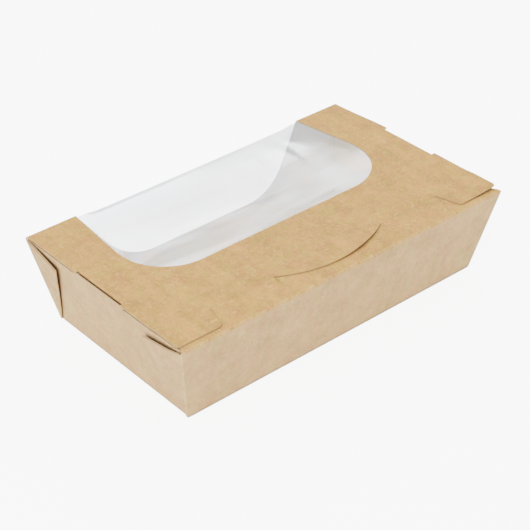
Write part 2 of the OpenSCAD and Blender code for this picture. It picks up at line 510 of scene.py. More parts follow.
def triangulated(
    outline: Sequence[Point],
    holes: Sequence[Sequence[Point]],
    cell: float,
    fine: tuple[float, float] | None,
) -> tuple[list[Point], list[tuple[int, int, int]]]:
    """Fills an outline with even triangles.

    Args:
        outline: The closed outline.
        holes: Closed outlines that stay open.
        cell: Distance between two points inside.
        fine: A place across the sheet and a smaller distance, used on the near side of that place.

    Returns:
        The points, and the triangles as three indices each.
    """
    rings = [list(outline), *[list(h) for h in holes]]
    low, high = np.min(outline, axis=0), np.max(outline, axis=0)
    layers = [(cell, -math.inf if fine is None else fine[0], math.inf)]
    if fine is not None:
        layers.append((fine[1], -math.inf, fine[0]))
    inner: list[np.ndarray] = []
    for pitch, lowest, highest in layers:
        grid = staggered(low, high, pitch)
        grid = grid[(grid[:, 1] > lowest) & (grid[:, 1] < highest)]
        keep = inside(grid, outline)
        for hole in holes:
            keep &= ~inside(grid, hole)
        grid = grid[keep]
        for ring in rings:
            grid = grid[clearance(grid, ring) > pitch * EDGE_SHARE]
        inner.append(grid)
    points = [p for ring in rings for p in ring] + [tuple(p) for grid in inner for p in grid]
    edges: list[tuple[int, int]] = []
    start = 0
    for ring in rings:
        edges.extend((start + i, start + (i + 1) % len(ring)) for i in range(len(ring)))
        start += len(ring)
    made = delaunay_2d_cdt([Vector(p) for p in points], edges, [], 0, TRIANGLE_TOLERANCE)
    places = [(p.x, p.y) for p in made[0]]
    triangles = [t for t in made[2] if len(t) == 3]
    corners = np.array([[places[i] for i in t] for t in triangles])
    first, second = corners[:, 1] - corners[:, 0], corners[:, 2] - corners[:, 0]
    keep = inside(corners.mean(axis=1), outline)
    keep &= np.abs(first[:, 0] * second[:, 1] - first[:, 1] * second[:, 0]) > SLIVER
    for hole in holes:
        keep &= ~inside(corners.mean(axis=1), hole)
    return places, [tuple(t) for t, kept in zip(triangles, keep) if kept]


@dataclass(frozen=True)
class Face:
    """A flat face of the folded sheet, with the side its print is on."""

    origin: Vector
    along: Vector
    up: Vector
    inset: Vector
    normal: Vector

    def at(self, u: float, v: float, depth: float = 0.0) -> Vector:
        """A point of the face.

        Args:
            u: Distance along it.
            v: Distance up it.
            depth: Depth behind its plane.

        Returns:
            The point in the part's frame, in millimetres.
        """
        return self.origin + self.along * u + self.up * v + self.inset * depth

    def layer(self, depth: float = 0.0) -> Place:
        """A function that puts flat points on this face at a depth."""
        return lambda p: self.at(p[0], p[1], depth)

    def middle(self, depth: float = 0.0) -> Vector:
        """A point well inside a wall, which tells on which side of an edge the wall lies."""
        return self.at(0, WALL_MIDDLE, depth)


@dataclass(frozen=True)
class Rim:
    """The edge of a panel that a fold starts from."""

    points: list[Vector]
    normal: Vector
    centre: Vector

    def out(self) -> Vector:
        """Works out the direction in which the panel leaves over this edge.

        Returns:
            The direction, in the panel's plane and square to the edge.
        """
        run = (self.points[-1] - self.points[0]).normalized()
        away = run.cross(self.normal).normalized()
        middle = (self.points[0] + self.points[-1]) / 2
        return away if away.dot(middle - self.centre) > 0 else -away


class Sheet:
    """The printed face of a piece of board, collected as panels and the folds between them."""

    def __init__(self) -> None:
        """Starts an empty sheet."""
        self.mesh = bmesh.new()
        self.free = self.mesh.verts.layers.float.new("free")
        self.crease = self.mesh.verts.layers.float.new("crease")

    def panel(
        self,
        outline: Sequence[Point],
        place: Place,
        outward: Vector,
        holes: Sequence[Sequence[Point]] = (),
        cell: float = 5.0,
        fine: tuple[float, float] | None = None,
        free: Callable[[Point], float] | None = None,
    ) -> None:
        """Adds a panel.

        Args:
            outline: Its flat outline.
            place: Function that folds a flat point into place.
            outward: Direction the printed side faces.
            holes: Outlines cut out of it.
            cell: Distance between points inside.
            fine: A place across the sheet and a smaller distance used before it.
            free: How freely a flat point can move, between 0 and 1.
        """
        places, triangles = triangulated(outline, holes, cell, fine)
        corners = [self.mesh.verts.new(place(p)) for p in places]
        if free is not None:
            for corner, p in zip(corners, places):
                corner[self.free] = free(p)
        faces = [self.mesh.faces.new([corners[i] for i in t]) for t in triangles]
        faces[0].normal_update()
        if faces[0].normal.dot(outward) < 0:
            bmesh.ops.reverse_faces(self.mesh, faces=faces)

    def strip(self, rows: Sequence[Sequence[Vector]], outward: Vector, creased: bool = False) -> None:
        """Adds a strip of faces through rows of points.

        Args:
            rows: Rows with the same number of points each.
            outward: Direction the printed side faces at the first row.
            creased: Whether the strip is a fold, which wears along its middle.
        """
        grid = [[self.mesh.verts.new(p) for p in row] for row in rows]
        if creased:
            for row in grid[1:-1]:
                for corner in row:
                    corner[self.crease] = 1.0
        faces = []
        for low, high in zip(grid, grid[1:]):
            for i in range(len(low) - 1):
                faces.append(self.mesh.faces.new((low[i], low[i + 1], high[i + 1], high[i])))
        best = max(faces[: len(grid[0]) - 1], key=lambda f: f.calc_area())
        best.normal_update()
        if best.normal.dot(outward) < 0:
            bmesh.ops.reverse_faces(self.mesh, faces=faces)

    def fold(self, start: Rim, end: Rim, steps: int = 6) -> None:
        """Adds a rounded fold between two panels.

        Args:
            start: Edge of the first panel.
            end: Edge of the second panel, with as many points in the same order.
            steps: Number of faces round the fold.
        """
        out_start, out_end = start.out(), end.out()
        turn = out_start.angle(-out_end)
        rows: list[list[Vector]] = [[] for _ in range(steps + 1)]
        run = (start.points[-1] - start.points[0]).normalized()
        for a, b in zip(start.points, end.points):
            across = (b - a) - run * run.dot(b - a)
            handle = 4 / 3 * math.tan(turn / 4) * across.length / (2 * math.sin(turn / 2))
            c, d = a + out_start * handle, b + out_end * handle
            for i in range(steps + 1):
                rows[i].append(bezier(a, c, d, b, i / steps))
        self.strip(rows, start.normal, creased=True)

    def weld(self) -> None:
        """Joins points that panels and folds share."""
        bmesh.ops.remove_doubles(self.mesh, verts=self.mesh.verts, dist=WELD)

    def close_corner(self, foot: Vector, reach: float) -> None:
        """Closes the small opening that is left where several folds meet.

        Args:
            foot: Where they meet.
            reach: How far from there the opening's edges may lie.
        """
        ring = [
            e
            for e in self.mesh.edges
            if e.is_boundary and all((v.co - foot).length < reach for v in e.verts)
        ]
        if not ring:
            return
        loops = [e.link_loops[0] for e in ring]
        middle = self.mesh.verts.new(sum((l.vert.co for l in loops), Vector()) / len(loops))
        for loop in loops:
            self.mesh.faces.new((loop.link_loop_next.vert, loop.vert, middle))

    def bent(self, change: Callable[[Vector], Vector]) -> None:
        """Moves every point of the sheet.

        Args:
            change: Function from a point to its new place.
        """
        for vert in self.mesh.verts:
            vert.co = change(vert.co.copy())

    def solid(self, name: str, thickness: float, finishes: Sequence[bpy.types.Material]) -> bpy.types.Object:
        """Gives the sheet its thickness and makes it an object.

        Args:
            name: Name of the object.
            thickness: Thickness of the board, in millimetres.
            finishes: Materials of the printed face, the inner face and the cut edge, or one for all of it.

        Returns:
            The object, in metres.
        """
        bmesh.ops.scale(self.mesh, vec=(MM, MM, MM), verts=self.mesh.verts)
        mesh = bpy.data.meshes.new(name)
        self.mesh.to_mesh(mesh)
        self.mesh.free()
        for finish in finishes:
            mesh.materials.append(finish)
        obj = bpy.data.objects.new(name, mesh)
        bpy.context.scene.collection.objects.link(obj)
        shell = obj.modifiers.new("Board", "SOLIDIFY")
        shell.thickness = thickness * MM
        shell.offset = -1
        shell.use_even_offset = False
        if len(finishes) > 1:
            shell.material_offset = Slot.INNER.value
            shell.material_offset_rim = Slot.CUT.value
        return obj


def settled(obj: bpy.types.Object) -> bpy.types.Object:
    """Turns an object's modifiers into its mesh and shades it.

    Args:
        obj: The object.

    Returns:
        The same object.
    """
    graph = bpy.context.evaluated_depsgraph_get()
    mesh = bpy.data.meshes.new_from_object(obj.evaluated_get(graph))
    obj.modifiers.clear()
    obj.data = mesh
    mesh.name = obj.name
    mesh.shade_smooth()
    mesh.set_sharp_from_angle(angle=math.radians(SHARP_EDGE))
    return obj


@dataclass(frozen=True)
class Planes:
    """The planes of the tray's panels."""

    base: Face
    far: Face
    near: Face
    ends: dict[Side, Face]

    @classmethod
    def of(cls, sizes: BoxSizes) -> Planes:
        """Works out the planes from the sizes.

        Args:
            sizes: Sizes of the box.

        Returns:
            The planes of the base, the long walls and the end walls.
        """
        lean, tilt = sizes.side_lean, sizes.end_lean
        far, near = (
            Face(
                origin=Vector((0, sign * sizes.foot_y, 0)),
                along=Vector((1, 0, 0)),
                up=Vector((0, sign * math.sin(lean), math.cos(lean))),
                inset=Vector((0, -sign / math.cos(lean), 0)),
                normal=Vector((0, sign * math.cos(lean), -math.sin(lean))),
            )
            for sign in (1, -1)
        )
        ends = {
            side: Face(
                origin=Vector((side.value * sizes.foot_x, 0, 0)),
                along=Vector((0, 1, 0)),
                up=Vector((side.value * math.sin(tilt), 0, math.cos(tilt))),
                inset=Vector((-side.value / math.cos(tilt), 0, 0)),
                normal=Vector((side.value * math.cos(tilt), 0, -math.sin(tilt))),
            )
            for side in Side
        }
        base = Face(origin=Vector(), along=Vector((1, 0, 0)), up=Vector((0, 1, 0)), inset=UP, normal=DOWN)
        return cls(base, far, near, ends)


class BoardTray:
    """The part of the blank that stands on the table: base, walls, web corners and dust flaps."""

    WALL_CELL = 6.0
    WEB_CELL = 4.0
    WEB_STEPS = 17
    WEB_TOP_STEPS = 8
    WEB_MIDDLE = (45.0, 30.0)
    CORNER_REACH = 6.0

    def __init__(self, sizes: BoxSizes, made: HandMade) -> None:
        """Works out where the folds of the panels begin.

        Args:
            sizes: Sizes of the box.
            made: What use and folding did to it.
        """
        s = sizes
        lean, tilt = s.side_lean, s.end_lean
        self.s = sizes
        self.made = made
        self.sheet = Sheet()
        self.planes = Planes.of(sizes)
        self.side_trim = fold_trim(s.corner_radius, math.pi / 2 - lean)
        self.end_trim = fold_trim(s.corner_radius, math.pi / 2 - tilt)
        self.corner_trim = fold_trim(s.corner_radius, math.acos(math.sin(lean) * math.sin(tilt)))
        self.side_flare = math.atan2(s.half_x - s.foot_x, s.side_slope)
        self.end_flare = math.atan2(s.half_y - s.foot_y, s.end_slope)
        self.base_x = s.foot_x - s.wall_depth / math.cos(tilt) - self.end_trim
        self.base_y = s.foot_y - self.side_trim
        self.side_foot = self.base_x + s.foot_shift
        self.end_foot = self.base_y - s.foot_shift
        self.web_back = s.web_inner + s.board + s.web_gap / 2

    def corner_x(self, v: float) -> float:
        """Where a long wall's corner fold begins, at a distance up the wall."""
        return self.s.foot_x + v * math.tan(self.side_flare) - self.corner_trim / math.cos(self.side_flare)

    def wall_side_y(self, v: float) -> float:
        """Where an end wall's side fold begins, at a distance up the wall."""
        return self.s.foot_y + v * math.tan(self.end_flare) - self.web_back / math.cos(self.s.side_lean)

    def base_panel(self) -> None:
        """Adds the base, with the points of its edges where the folds to the walls begin."""
        side_run = line((-self.side_foot, 0), (self.side_foot, 0))
        end_run = line((-self.end_foot, 0), (self.end_foot, 0))
        near = [(x / self.side_foot * self.base_x, -self.base_y) for x, _ in side_run]
        right = [(self.base_x, y / self.end_foot * self.base_y) for y, _ in end_run]
        far = [(x, self.base_y) for x, _ in reversed(near)]
        left = [(-self.base_x, y) for _, y in reversed(right)]
        base = self.planes.base
        self.sheet.panel(chain(near, right, far, left), base.layer(), base.normal, cell=8.0)

    def long_wall(self, face: Face, top: list[Point]) -> None:
        """Adds a long wall and its fold to the base.

        Args:
            face: Its plane.
            top: Its outline along the top, from right to left.
        """
        base = self.planes.base
        low, high = self.side_trim, self.s.side_slope
        foot = line((-self.side_foot, low), (self.side_foot, low))
        right = line((self.corner_x(low), low), (self.corner_x(high), high))
        outline = chain(foot, right, top, mirrored(right))
        self.sheet.panel(outline, face.layer(), face.normal, cell=self.WALL_CELL)
        base_y = math.copysign(self.base_y, face.normal.y)
        base_edge = [base.at(x / self.side_foot * self.base_x, base_y) for x, _ in foot]
        self.sheet.fold(
            Rim(base_edge, base.normal, Vector()),
            Rim([face.at(*p) for p in foot], face.normal, face.middle()),
        )

    def web_outline(self, corner_inset: float, turn: float) -> tuple[list[Point], list[Point], list[Point]]:
        """Outline of one layer of a web corner, square to the end wall, for the corner at positive y.

        Args:
            corner_inset: How far the layer stays back from the corner's edge.
            turn: How far the doubling fold was turned by hand, in degrees.

        Returns:
            Its corner edge from the foot up, its doubling edge from the foot up, and its top edge from the
            corner.
        """
        s = self.s
        fold_inset = s.web_inner / 2 + s.board / 2
        half = (math.pi / 2 - self.side_flare - self.end_flare) / 2
        angle = half - self.end_flare + math.radians(turn)
        foot = Vector((s.foot_y, 0.0))
        rise = (s.end_slope - s.web_drop) / math.cos(angle)
        tip = foot + rise * Vector((-math.sin(angle), math.cos(angle)))
        top = foot.lerp(Vector((s.half_y, s.end_slope)), 1 - s.web_start / s.end_slope)
        edge = (top - foot).normalized()
        fold = (tip - foot).normalized()
        edge_start = foot + Vector((-edge.y, edge.x)) * corner_inset
        fold_start = foot + Vector((fold.y, -fold.x)) * fold_inset
        low = crossing(edge_start, edge, fold_start, fold)
        high = crossing(edge_start, edge, top, tip - top)
        end = crossing(fold_start, fold, top, tip - top)
        return (
            spread(low, high, self.WEB_STEPS),
            spread(low, end, self.WEB_STEPS),
            spread(high, end, self.WEB_TOP_STEPS),
        )

    def web(self, side: Side, across: float) -> None:
        """Adds one web corner, folded double against the end wall.

        Args:
            side: End of the box.
            across: 1 for the far corner and -1 for the near one.
        """
        s = self.s
        face = self.planes.ends[side]
        wall = self.planes.far if across > 0 else self.planes.near
        made = self.made.far_web if across > 0 else self.made.near_web
        back = s.web_inner + s.board
        outer = self.web_outline(self.corner_trim, made.turn)
        inner = self.web_outline(self.web_back, made.turn)
        for (corner, fold, top), depth, outward in ((outer, 0.0, face.normal), (inner, back, -face.normal)):
            outline = corner[:-1] + top[:-1] + list(reversed(fold))[:-1]
            points = [(y * across, v) for y, v in outline]
            self.sheet.panel(
                points,
                lambda p, d=depth: self.lifted(face, p, d, made),
                outward,
                cell=self.WEB_CELL,
            )

        def row(points: Sequence[Point], depth: float) -> list[Vector]:
            """Points of this web corner, folded into place."""
            return [self.lifted(face, (y * across, v), depth, made) for y, v in points]

        wall_edge = [
            wall.at(side.value * self.corner_x(v), v)
            for v in steps_between(self.side_trim, s.side_slope, self.WEB_STEPS)
        ]
        wall_side = [
            face.at(across * self.wall_side_y(v), v, s.wall_depth)
            for v in steps_between(self.end_trim, s.end_slope, self.WEB_STEPS)
        ]
        middle = face.at(across * self.WEB_MIDDLE[0], self.WEB_MIDDLE[1])
        self.sheet.fold(
            Rim(wall_edge, wall.normal, wall.middle()),
            Rim(row(outer[0], 0.0), face.normal, middle),
        )
        self.sheet.fold(
            Rim(row(outer[1], 0.0), face.normal, middle),
            Rim(row(inner[1], back), -face.normal, middle),
            steps=8,
        )
        self.sheet.fold(
            Rim(row(inner[0], back), -face.normal, middle),
            Rim(wall_side, face.normal, face.middle(s.wall_depth)),
            steps=4,
        )

    def lifted(self, face: Face, p: Point, depth: float, made: WebSet) -> Vector:
        """Puts a point of a web corner in place, a little off the end wall towards its tip.

        Args:
            face: Plane of the end wall's printed side.
            p: The point, along and up that plane.
            depth: Depth of its layer behind the plane.
            made: How this corner was set.

        Returns:
            The point in the part's frame.
        """
        y, v = p
        free = max(0.0, self.s.foot_y + v * math.tan(self.end_flare) - abs(y)) / made.reach
        high = smooth_between(v, 0.0, made.full_at * self.s.end_slope)
        return face.at(y, v, depth) + face.normal * made.lift * high * min(1.0, free) ** made.bend

    def end(self, side: Side) -> None:
        """Adds an end wall, its dust flap and its two web corners.

        Args:
            side: End of the box.
        """
        s = self.s
        face, base = self.planes.ends[side], self.planes.base
        fold_v = s.end_slope - self.made.end_drop - s.end_fold_trim
        flap_end = s.half_y - s.dust_setback
        slot_low = s.tab_y - s.tab_half - s.slot_clear
        slot_high = s.tab_y + s.tab_half + s.slot_clear
        foot = line((-self.end_foot, self.end_trim), (self.end_foot, self.end_trim))
        right = [(self.wall_side_y(v), v) for v in steps_between(self.end_trim, s.end_slope, self.WEB_STEPS)]
        top_far = line((flap_end, fold_v), (slot_high, fold_v))
        top_near = line((slot_low, fold_v), (-flap_end, fold_v))
        top = chain_open(
            [(flap_end, s.end_slope)],
            top_far,
            [(slot_high, s.end_slope), (slot_low, s.end_slope)],
            top_near,
            [(-flap_end, s.end_slope)],
        )
        outline = chain(foot, right, top, mirrored(right))
        self.sheet.panel(outline, face.layer(s.wall_depth), face.normal, cell=self.WALL_CELL)
        base_edge = [base.at(side.value * self.base_x, y / self.end_foot * self.base_y) for y, _ in foot]
        self.sheet.fold(
            Rim(base_edge, base.normal, Vector()),
            Rim([face.at(y, v, s.wall_depth) for y, v in foot], face.normal, face.middle(s.wall_depth)),
        )
        self.dust_flap(side, top_far, top_near)
        for across in (1.0, -1.0):
            self.web(side, across)
            self.sheet.weld()
            self.sheet.close_corner(
                Vector((side.value * s.foot_x, across * s.foot_y, 0)), self.CORNER_REACH
            )

    def dust_flap(self, side: Side, top_far: list[Point], top_near: list[Point]) -> None:
        """Adds a dust flap, which lies under the lid and has the slot for the lid's end tab.

        Args:
            side: End of the box.
            top_far: Stretch of the end wall's fold beyond the slot, from its far end.
            top_near: Stretch of that fold before the slot, from the slot.
        """
        s = self.s
        outer_x = s.half_x - s.wall_depth / math.cos(s.end_lean) - s.end_fold_trim
        slot_x = s.wall_inner - s.slot_width
        free_x = s.film_half + s.dust_clear
        flap_end = s.half_y - s.dust_setback
        low, high = top_near[0][0], top_far[-1][0]
        far_edge = [(outer_x, y) for y, _ in top_far]
        near_edge = [(outer_x, y) for y, _ in top_near]
        root_far, root_near = (outer_x, flap_end), (outer_x, -flap_end)
        far_corner, near_corner = (free_x, flap_end - s.dust_taper), (free_x, s.dust_taper - flap_end)
        outline = chain(
            far_edge,
            [(slot_x, high), (slot_x, low)],
            near_edge,
            corner_arc(root_near, near_corner, far_corner, s.dust_corner),
            corner_arc(near_corner, far_corner, root_far, s.dust_corner),
        )

        def place(p: Point) -> Vector:
            """Lays a flat point on the flap, which droops a little inwards."""
            drop = s.dust_slope * (outer_x - p[0])
            return Vector((side.value * p[0], p[1], s.rim - self.made.end_drop - drop))

        self.sheet.panel(outline, place, UP, cell=5.0)
        face = self.planes.ends[side]
        for wall_run, flap_run in ((top_far, far_edge), (top_near, near_edge)):
            wall_row = [face.at(y, v, s.wall_depth) for y, v in wall_run]
            self.sheet.fold(
                Rim(wall_row, face.normal, face.middle(s.wall_depth)),
                Rim([place(p) for p in flap_run], UP, Vector((0, 0, s.rim))),
            )

    def build(self, finishes: Sequence[bpy.types.Material]) -> bpy.types.Object:
        """Builds the tray.

        Args:
            finishes: Materials of the printed face, the inner face and the cut edge.

        Returns:
            The tray's object.
        """
        s = self.s
        high = s.side_slope
        self.base_panel()
        fold_v = s.top_corner_v - s.top_trim - self.made.lead
        flap_x = s.half_x - s.flap_end_setback
        near_fold = line((flap_x, fold_v), (-flap_x, fold_v))
        self.long_wall(self.planes.near, chain_open([(flap_x, high)], near_fold, [(-flap_x, high)]))
        window = far_window(s, fold_v)
        far_fold = line((s.lid_end, fold_v), window[0])
        far_half = chain_open([(s.lid_end, high)], far_fold, window)
        self.long_wall(self.planes.far, chain_open(far_half, mirrored(far_half)))
        for side in Side:
            self.end(side)
        self.sheet.weld()
        return self.sheet.solid("tray_board", s.board, finishes)


def crossing(p: Vector, u: Vector, q: Vector, v: Vector) -> Vector:
    """Where the line through p along u crosses the line through q along v."""
    share = (q - p).cross(v) / u.cross(v)
    return p + u * share


def spread(start: Vector, end: Vector, count: int) -> list[Point]:
    """A number of even steps between two flat points, both included."""
    return [tuple(start.lerp(end, i / count)) for i in range(count + 1)]


def chain_open(*runs: Sequence[Point]) -> list[Point]:
    """Joins runs of points end to end, with repeated points left out.

    Args:
        runs: Runs of points, in order.

    Returns:
        The points of the whole run.
    """
    points: list[Point] = []
    for p in (p for run in runs for p in run):
        if not points or math.dist(points[-1], p) > SAME_POINT:
            points.append(p)
    return points


def far_window(s: BoxSizes, top: float, grow: float = 0.0) -> list[Point]:
    """Right half of the window in the far wall, from the top down to the middle of its lower edge.

    Args:
        s: Sizes of the box.
        top: How far up the wall the half begins.
        grow: How much larger the outline is all round.

    Returns:
        The points in order.
    """
    low = (s.window_foot_half + grow, s.window_base_margin - grow)
    high_x = s.window_fold_half + grow
    share = (top - low[1]) / (s.side_slope - low[1])
    start = (low[0] + (high_x - low[0]) * share, top)
    arc = corner_arc(start, low, (-low[0], low[1]), s.window_wall_corner + grow, 16)
    return chain_open([start], arc, [(0.0, low[1])])


def lid_window(s: BoxSizes, top: float, grow: float = 0.0) -> list[Point]:
    """Right half of the window in the lid, from its far end to the middle of its near edge.

    Args:
        s: Sizes of the box.
        top: Place across the box where the half begins.
        grow: How much larger the outline is all round.

    Returns:
        The points in order.
    """
    wide_y = s.window_near + s.window_side
    wide = (s.window_half + grow, wide_y)
    share = (top - wide_y) / (s.half_y - wide_y)
    start = (wide[0] + (s.window_fold_half - s.window_half) * share, top)
    low = (s.window_half + grow, s.window_near - grow)
    arc = corner_arc(wide, low, (-low[0], low[1]), s.window_corner + grow, 16)
    return chain_open([start], [wide], arc, [(0.0, low[1])])


class LidShape:
    """Heights of the closed lid over its flat plane, shared by the lid's board and its film."""

    SOFT_START = 0.1
    SOFT_SLOPE = 0.5
    EDGE_TOLERANCE = 0.01

    def __init__(self, sizes: BoxSizes, made: HandMade) -> None:
        """Keeps the sizes.

        Args:
            sizes: Sizes of the box.
            made: What use and folding did to it.
        """
        self.s = sizes
        self.made = made

    def lift(self, x: float, y: float) -> float:
        """How far the lid stands off the tray at its right end.

        Args:
            x: Place along the box.
            y: Place across it.

        Returns:
            The height over the flat lid.
        """
        s, m = self.s, self.made
        across = smooth_between(s.half_y - y, 0.0, s.half_y - m.lid_lift_at)
        near = 1.0 - m.lid_lift_fade * smooth_between(-y, -m.lid_lift_at, s.half_y)
        delay = m.lid_lift_delay * smooth_between(-y, -m.lid_lift_delay_at, -s.flap_edge)
        start = m.lid_lift_start + delay
        share = max(0.0, (x - start) / (s.lid_end - start))
        return m.lid_lift * across * near * share**m.lid_lift_bend

    def arc_y(self, x: float, extra: float) -> float:
        """Where the arc slit runs across the box.

        Args:
            x: Place along the box.
            extra: How much deeper than the half-moon it is read.

        Returns:
            The place across the box.
        """
        s = self.s
        depth = s.moon_depth + extra
        radius = (s.moon_half**2 + depth**2) / (2 * depth)
        return s.flap_edge + radius - depth - math.sqrt(max(0.0, radius**2 - x * x))

    def ear_x(self, y: float) -> float:
        """Where an ear's slit runs along the box.

        Args:
            y: Place across the box.

        Returns:
            The place along the box.
        """
        s = self.s
        share = (y - s.lid_near) / (s.flap_edge - s.lid_near)
        return s.ear_near_x + (s.ear_far_x - s.ear_near_x) * share

    def level(self, x: float, y: float) -> float:
        """Height of the lid's board over its flat plane, where it goes over and under the closing flap.

        Args:
            x: Place along the box.
            y: Place across it.

        Returns:
            The height, above 0 over the flap and below 0 under it.
        """
        s, m = self.s, self.made
        if y >= s.ramp_high:
            return 0.0
        across = abs(x)
        ear_edge = s.ear_far_x - s.cut / 2
        if y > s.flap_edge:
            soft = self.SOFT_START + self.SOFT_SLOPE * (y - s.flap_edge)
            ear = smooth_between(across, ear_edge - soft, ear_edge + soft)
            moon = 1.0 - smooth_between(across, s.moon_half - soft, s.moon_half + soft)
        else:
            in_moon = across < s.moon_half + self.EDGE_TOLERANCE and y > self.arc_y(across, s.cut / 2)
            ear = 1.0 if across > self.ear_x(y) - s.cut / 2 else 0.0
            moon = 1.0 if in_moon else 0.0
        up = max(ear, moon)
        fade = 1.0 - smooth_between(y, s.ramp_low, s.ramp_high)
        swell = math.exp(-(((x - m.moon_lift_at) / (m.moon_lift_spread * s.moon_half)) ** 2))
        arch = swell * (1.0 - (across / s.moon_half) ** 4)
        lift = m.moon_lift * moon * arch * smooth_between(-y, -s.ramp_high, -s.lid_near)
        return fade * ((2.0 * up - 1.0) * (s.board + s.layer_gap) + lift)


class BoardLid:
    """The lid of the blank, with its ears, half-moon, tucked parts and end tabs."""

    SLIT_STEPS = 32

    def __init__(self, sizes: BoxSizes, made: HandMade, shape: LidShape) -> None:
        """Starts the lid.

        Args:
            sizes: Sizes of the box.
            made: What use and folding did to it.
            shape: Heights of the closed lid.
        """
        self.s = sizes
        self.made = made
        self.shape = shape
        self.sheet = Sheet()

    def right_outline(self, fold_y: float) -> tuple[list[Point], list[Point]]:
        """Right half of the lid's outline, from its far fold to the middle of its near edge.

        Args:
            fold_y: Where the far fold begins.

        Returns:
            The outline's run, and the part of it that the end tab folds down from.
        """
        s = self.s
        high, low = s.tab_y + s.tab_half, s.tab_y - s.tab_half
        tab_x = s.tab_outer - s.end_fold_trim
        hinge = line((tab_x, high), (tab_x, low))
        corner = (s.lid_end, s.lid_near)
        ear_foot = (s.ear_near_x, s.lid_near)
        ear_top = (s.ear_far_x, s.flap_edge)
        slit_tip = (s.ear_far_x - s.cut / 2, s.flap_edge + s.ear_slit_tip)
        run = chain_open(
            [(s.lid_end, fold_y), (s.lid_end, high + s.cut), (tab_x, high + s.cut)],
            hinge,
            [(tab_x, low - s.cut), (s.lid_end, low - s.cut)],
            corner_arc((s.lid_end, low), corner, ear_foot, s.lid_corner),
            corner_arc(corner, ear_foot, ear_top, s.lid_corner),
            [ear_top, slit_tip, (s.ear_far_x - s.cut, s.flap_edge)],
            [(s.ear_near_x - s.cut, s.lid_near), (0.0, s.lid_near)],
        )
        return run, hinge

    def arc_slit(self) -> list[Point]:
        """Draws the arc slit.

        Returns:
            Its closed outline.
        """
        s = self.s
        places = [s.moon_half * (2 * i / self.SLIT_STEPS - 1) for i in range(self.SLIT_STEPS + 1)]
        stretch = 1 + s.cut / s.moon_half
        upper = [(x, self.shape.arc_y(x, 0.0)) for x in places]
        lower = [(x * stretch, self.shape.arc_y(x, 0.0) - s.cut) for x in reversed(places)]
        return upper + lower

    def build(self, finishes: Sequence[bpy.types.Material]) -> bpy.types.Object:
        """Builds the lid, together with the two stretches of its fold beside the window.

        Args:
            finishes: Materials of the printed face, the inner face and the cut edge.

        Returns:
            The lid's object.
        """
        s = self.s
        fold_y = s.top_corner_y - s.top_trim
        window = lid_window(s, fold_y)
        right, hinge = self.right_outline(fold_y)
        fold_run = line(window[0], (s.lid_end, fold_y))
        half = chain_open(fold_run, right)
        outline = chain(half, mirrored(half), window_return(window))

        def place(p: Point) -> Vector:
            """Lays a flat point on the closed lid."""
            return Vector((p[0], p[1], s.height + self.shape.level(p[0], p[1])))

        self.sheet.panel(outline, place, UP, [self.arc_slit()], cell=4.0, fine=(s.ramp_high + 2.0, 1.6))
        self.tabs(hinge)
        self.far_folds(fold_run, fold_y)
        self.sheet.weld()
        self.sheet.bent(self.raised)
        return self.sheet.solid("lid_board", s.board, finishes)

    def raised(self, p: Vector) -> Vector:
        """Lifts a point of the lid at its right end."""
        return p + Vector((0, 0, self.shape.lift(p.x, p.y)))

    def tabs(self, hinge: list[Point]) -> None:
        """Adds the two end tabs, folded down beside the end walls.

        Args:
            hinge: Edge of the lid that the right tab folds down from.
        """
        s = self.s
        high, low, depth = hinge[0][1], hinge[-1][1], s.tab_depth
        root = [(y, s.end_fold_trim) for _, y in hinge]
        outline = chain(
            root,
            corner_arc(root[-1], (low, depth), (high, depth), s.tab_corner),
            corner_arc((low, depth), (high, depth), root[0], s.tab_corner),
        )
        for side in Side:
            sign = side.value

            def place(p: Point, sign: float = sign) -> Vector:
                """Puts a flat point on the tab, which leans with the end wall."""
                x = s.tab_outer - p[1] * math.sin(s.end_lean)
                return Vector((sign * x, p[0], s.height - p[1] * math.cos(s.end_lean)))

            normal = Vector((sign * math.cos(s.end_lean), 0, -math.sin(s.end_lean)))
            self.sheet.panel(outline, place, normal, cell=3.0)
            lid_row = [Vector((sign * x, y, s.height)) for x, y in hinge]
            self.sheet.fold(
                Rim(lid_row, UP, Vector((0, 0, s.height))),
                Rim([place(p) for p in root], normal, place((s.tab_y, depth))),
            )

    def far_folds(self, fold_run: list[Point], fold_y: float) -> None:
        """Adds the stretches of the far fold beside the window, down to the far wall.

        Args:
            fold_run: Edge of the lid that the right stretch starts from.
            fold_y: Place of that edge across the box.
        """
        s = self.s
        wall = Planes.of(s).far
        fold_v = s.top_corner_v - s.top_trim
        lead_v = fold_v - self.made.lead
        steps = len(fold_run) - 1

        def row(sign: float, v: float) -> list[Vector]:
            """Points of the far wall between the window and the lid's end, at a height up the wall."""
            return [wall.at(sign * x, v) for x in steps_between(far_window(s, v)[0][0], s.lid_end, steps)]

        for side in Side:
            sign = side.value
            lid_row = [Vector((sign * x, fold_y, s.height)) for x, _ in fold_run]
            wall_row = row(sign, fold_v)
            self.sheet.strip([row(sign, lead_v), wall_row], wall.normal)
            self.sheet.fold(
                Rim(wall_row, wall.normal, wall.middle()),
                Rim(lid_row, UP, Vector((0, 0, s.height))),
                steps=8,
            )


def window_return(window: Sequence[Point]) -> list[Point]:
    """The window's whole outline, from the left end of the fold round to the right one."""
    left = [(-x, y) for x, y in window]
    return chain_open(left, list(reversed(window)))


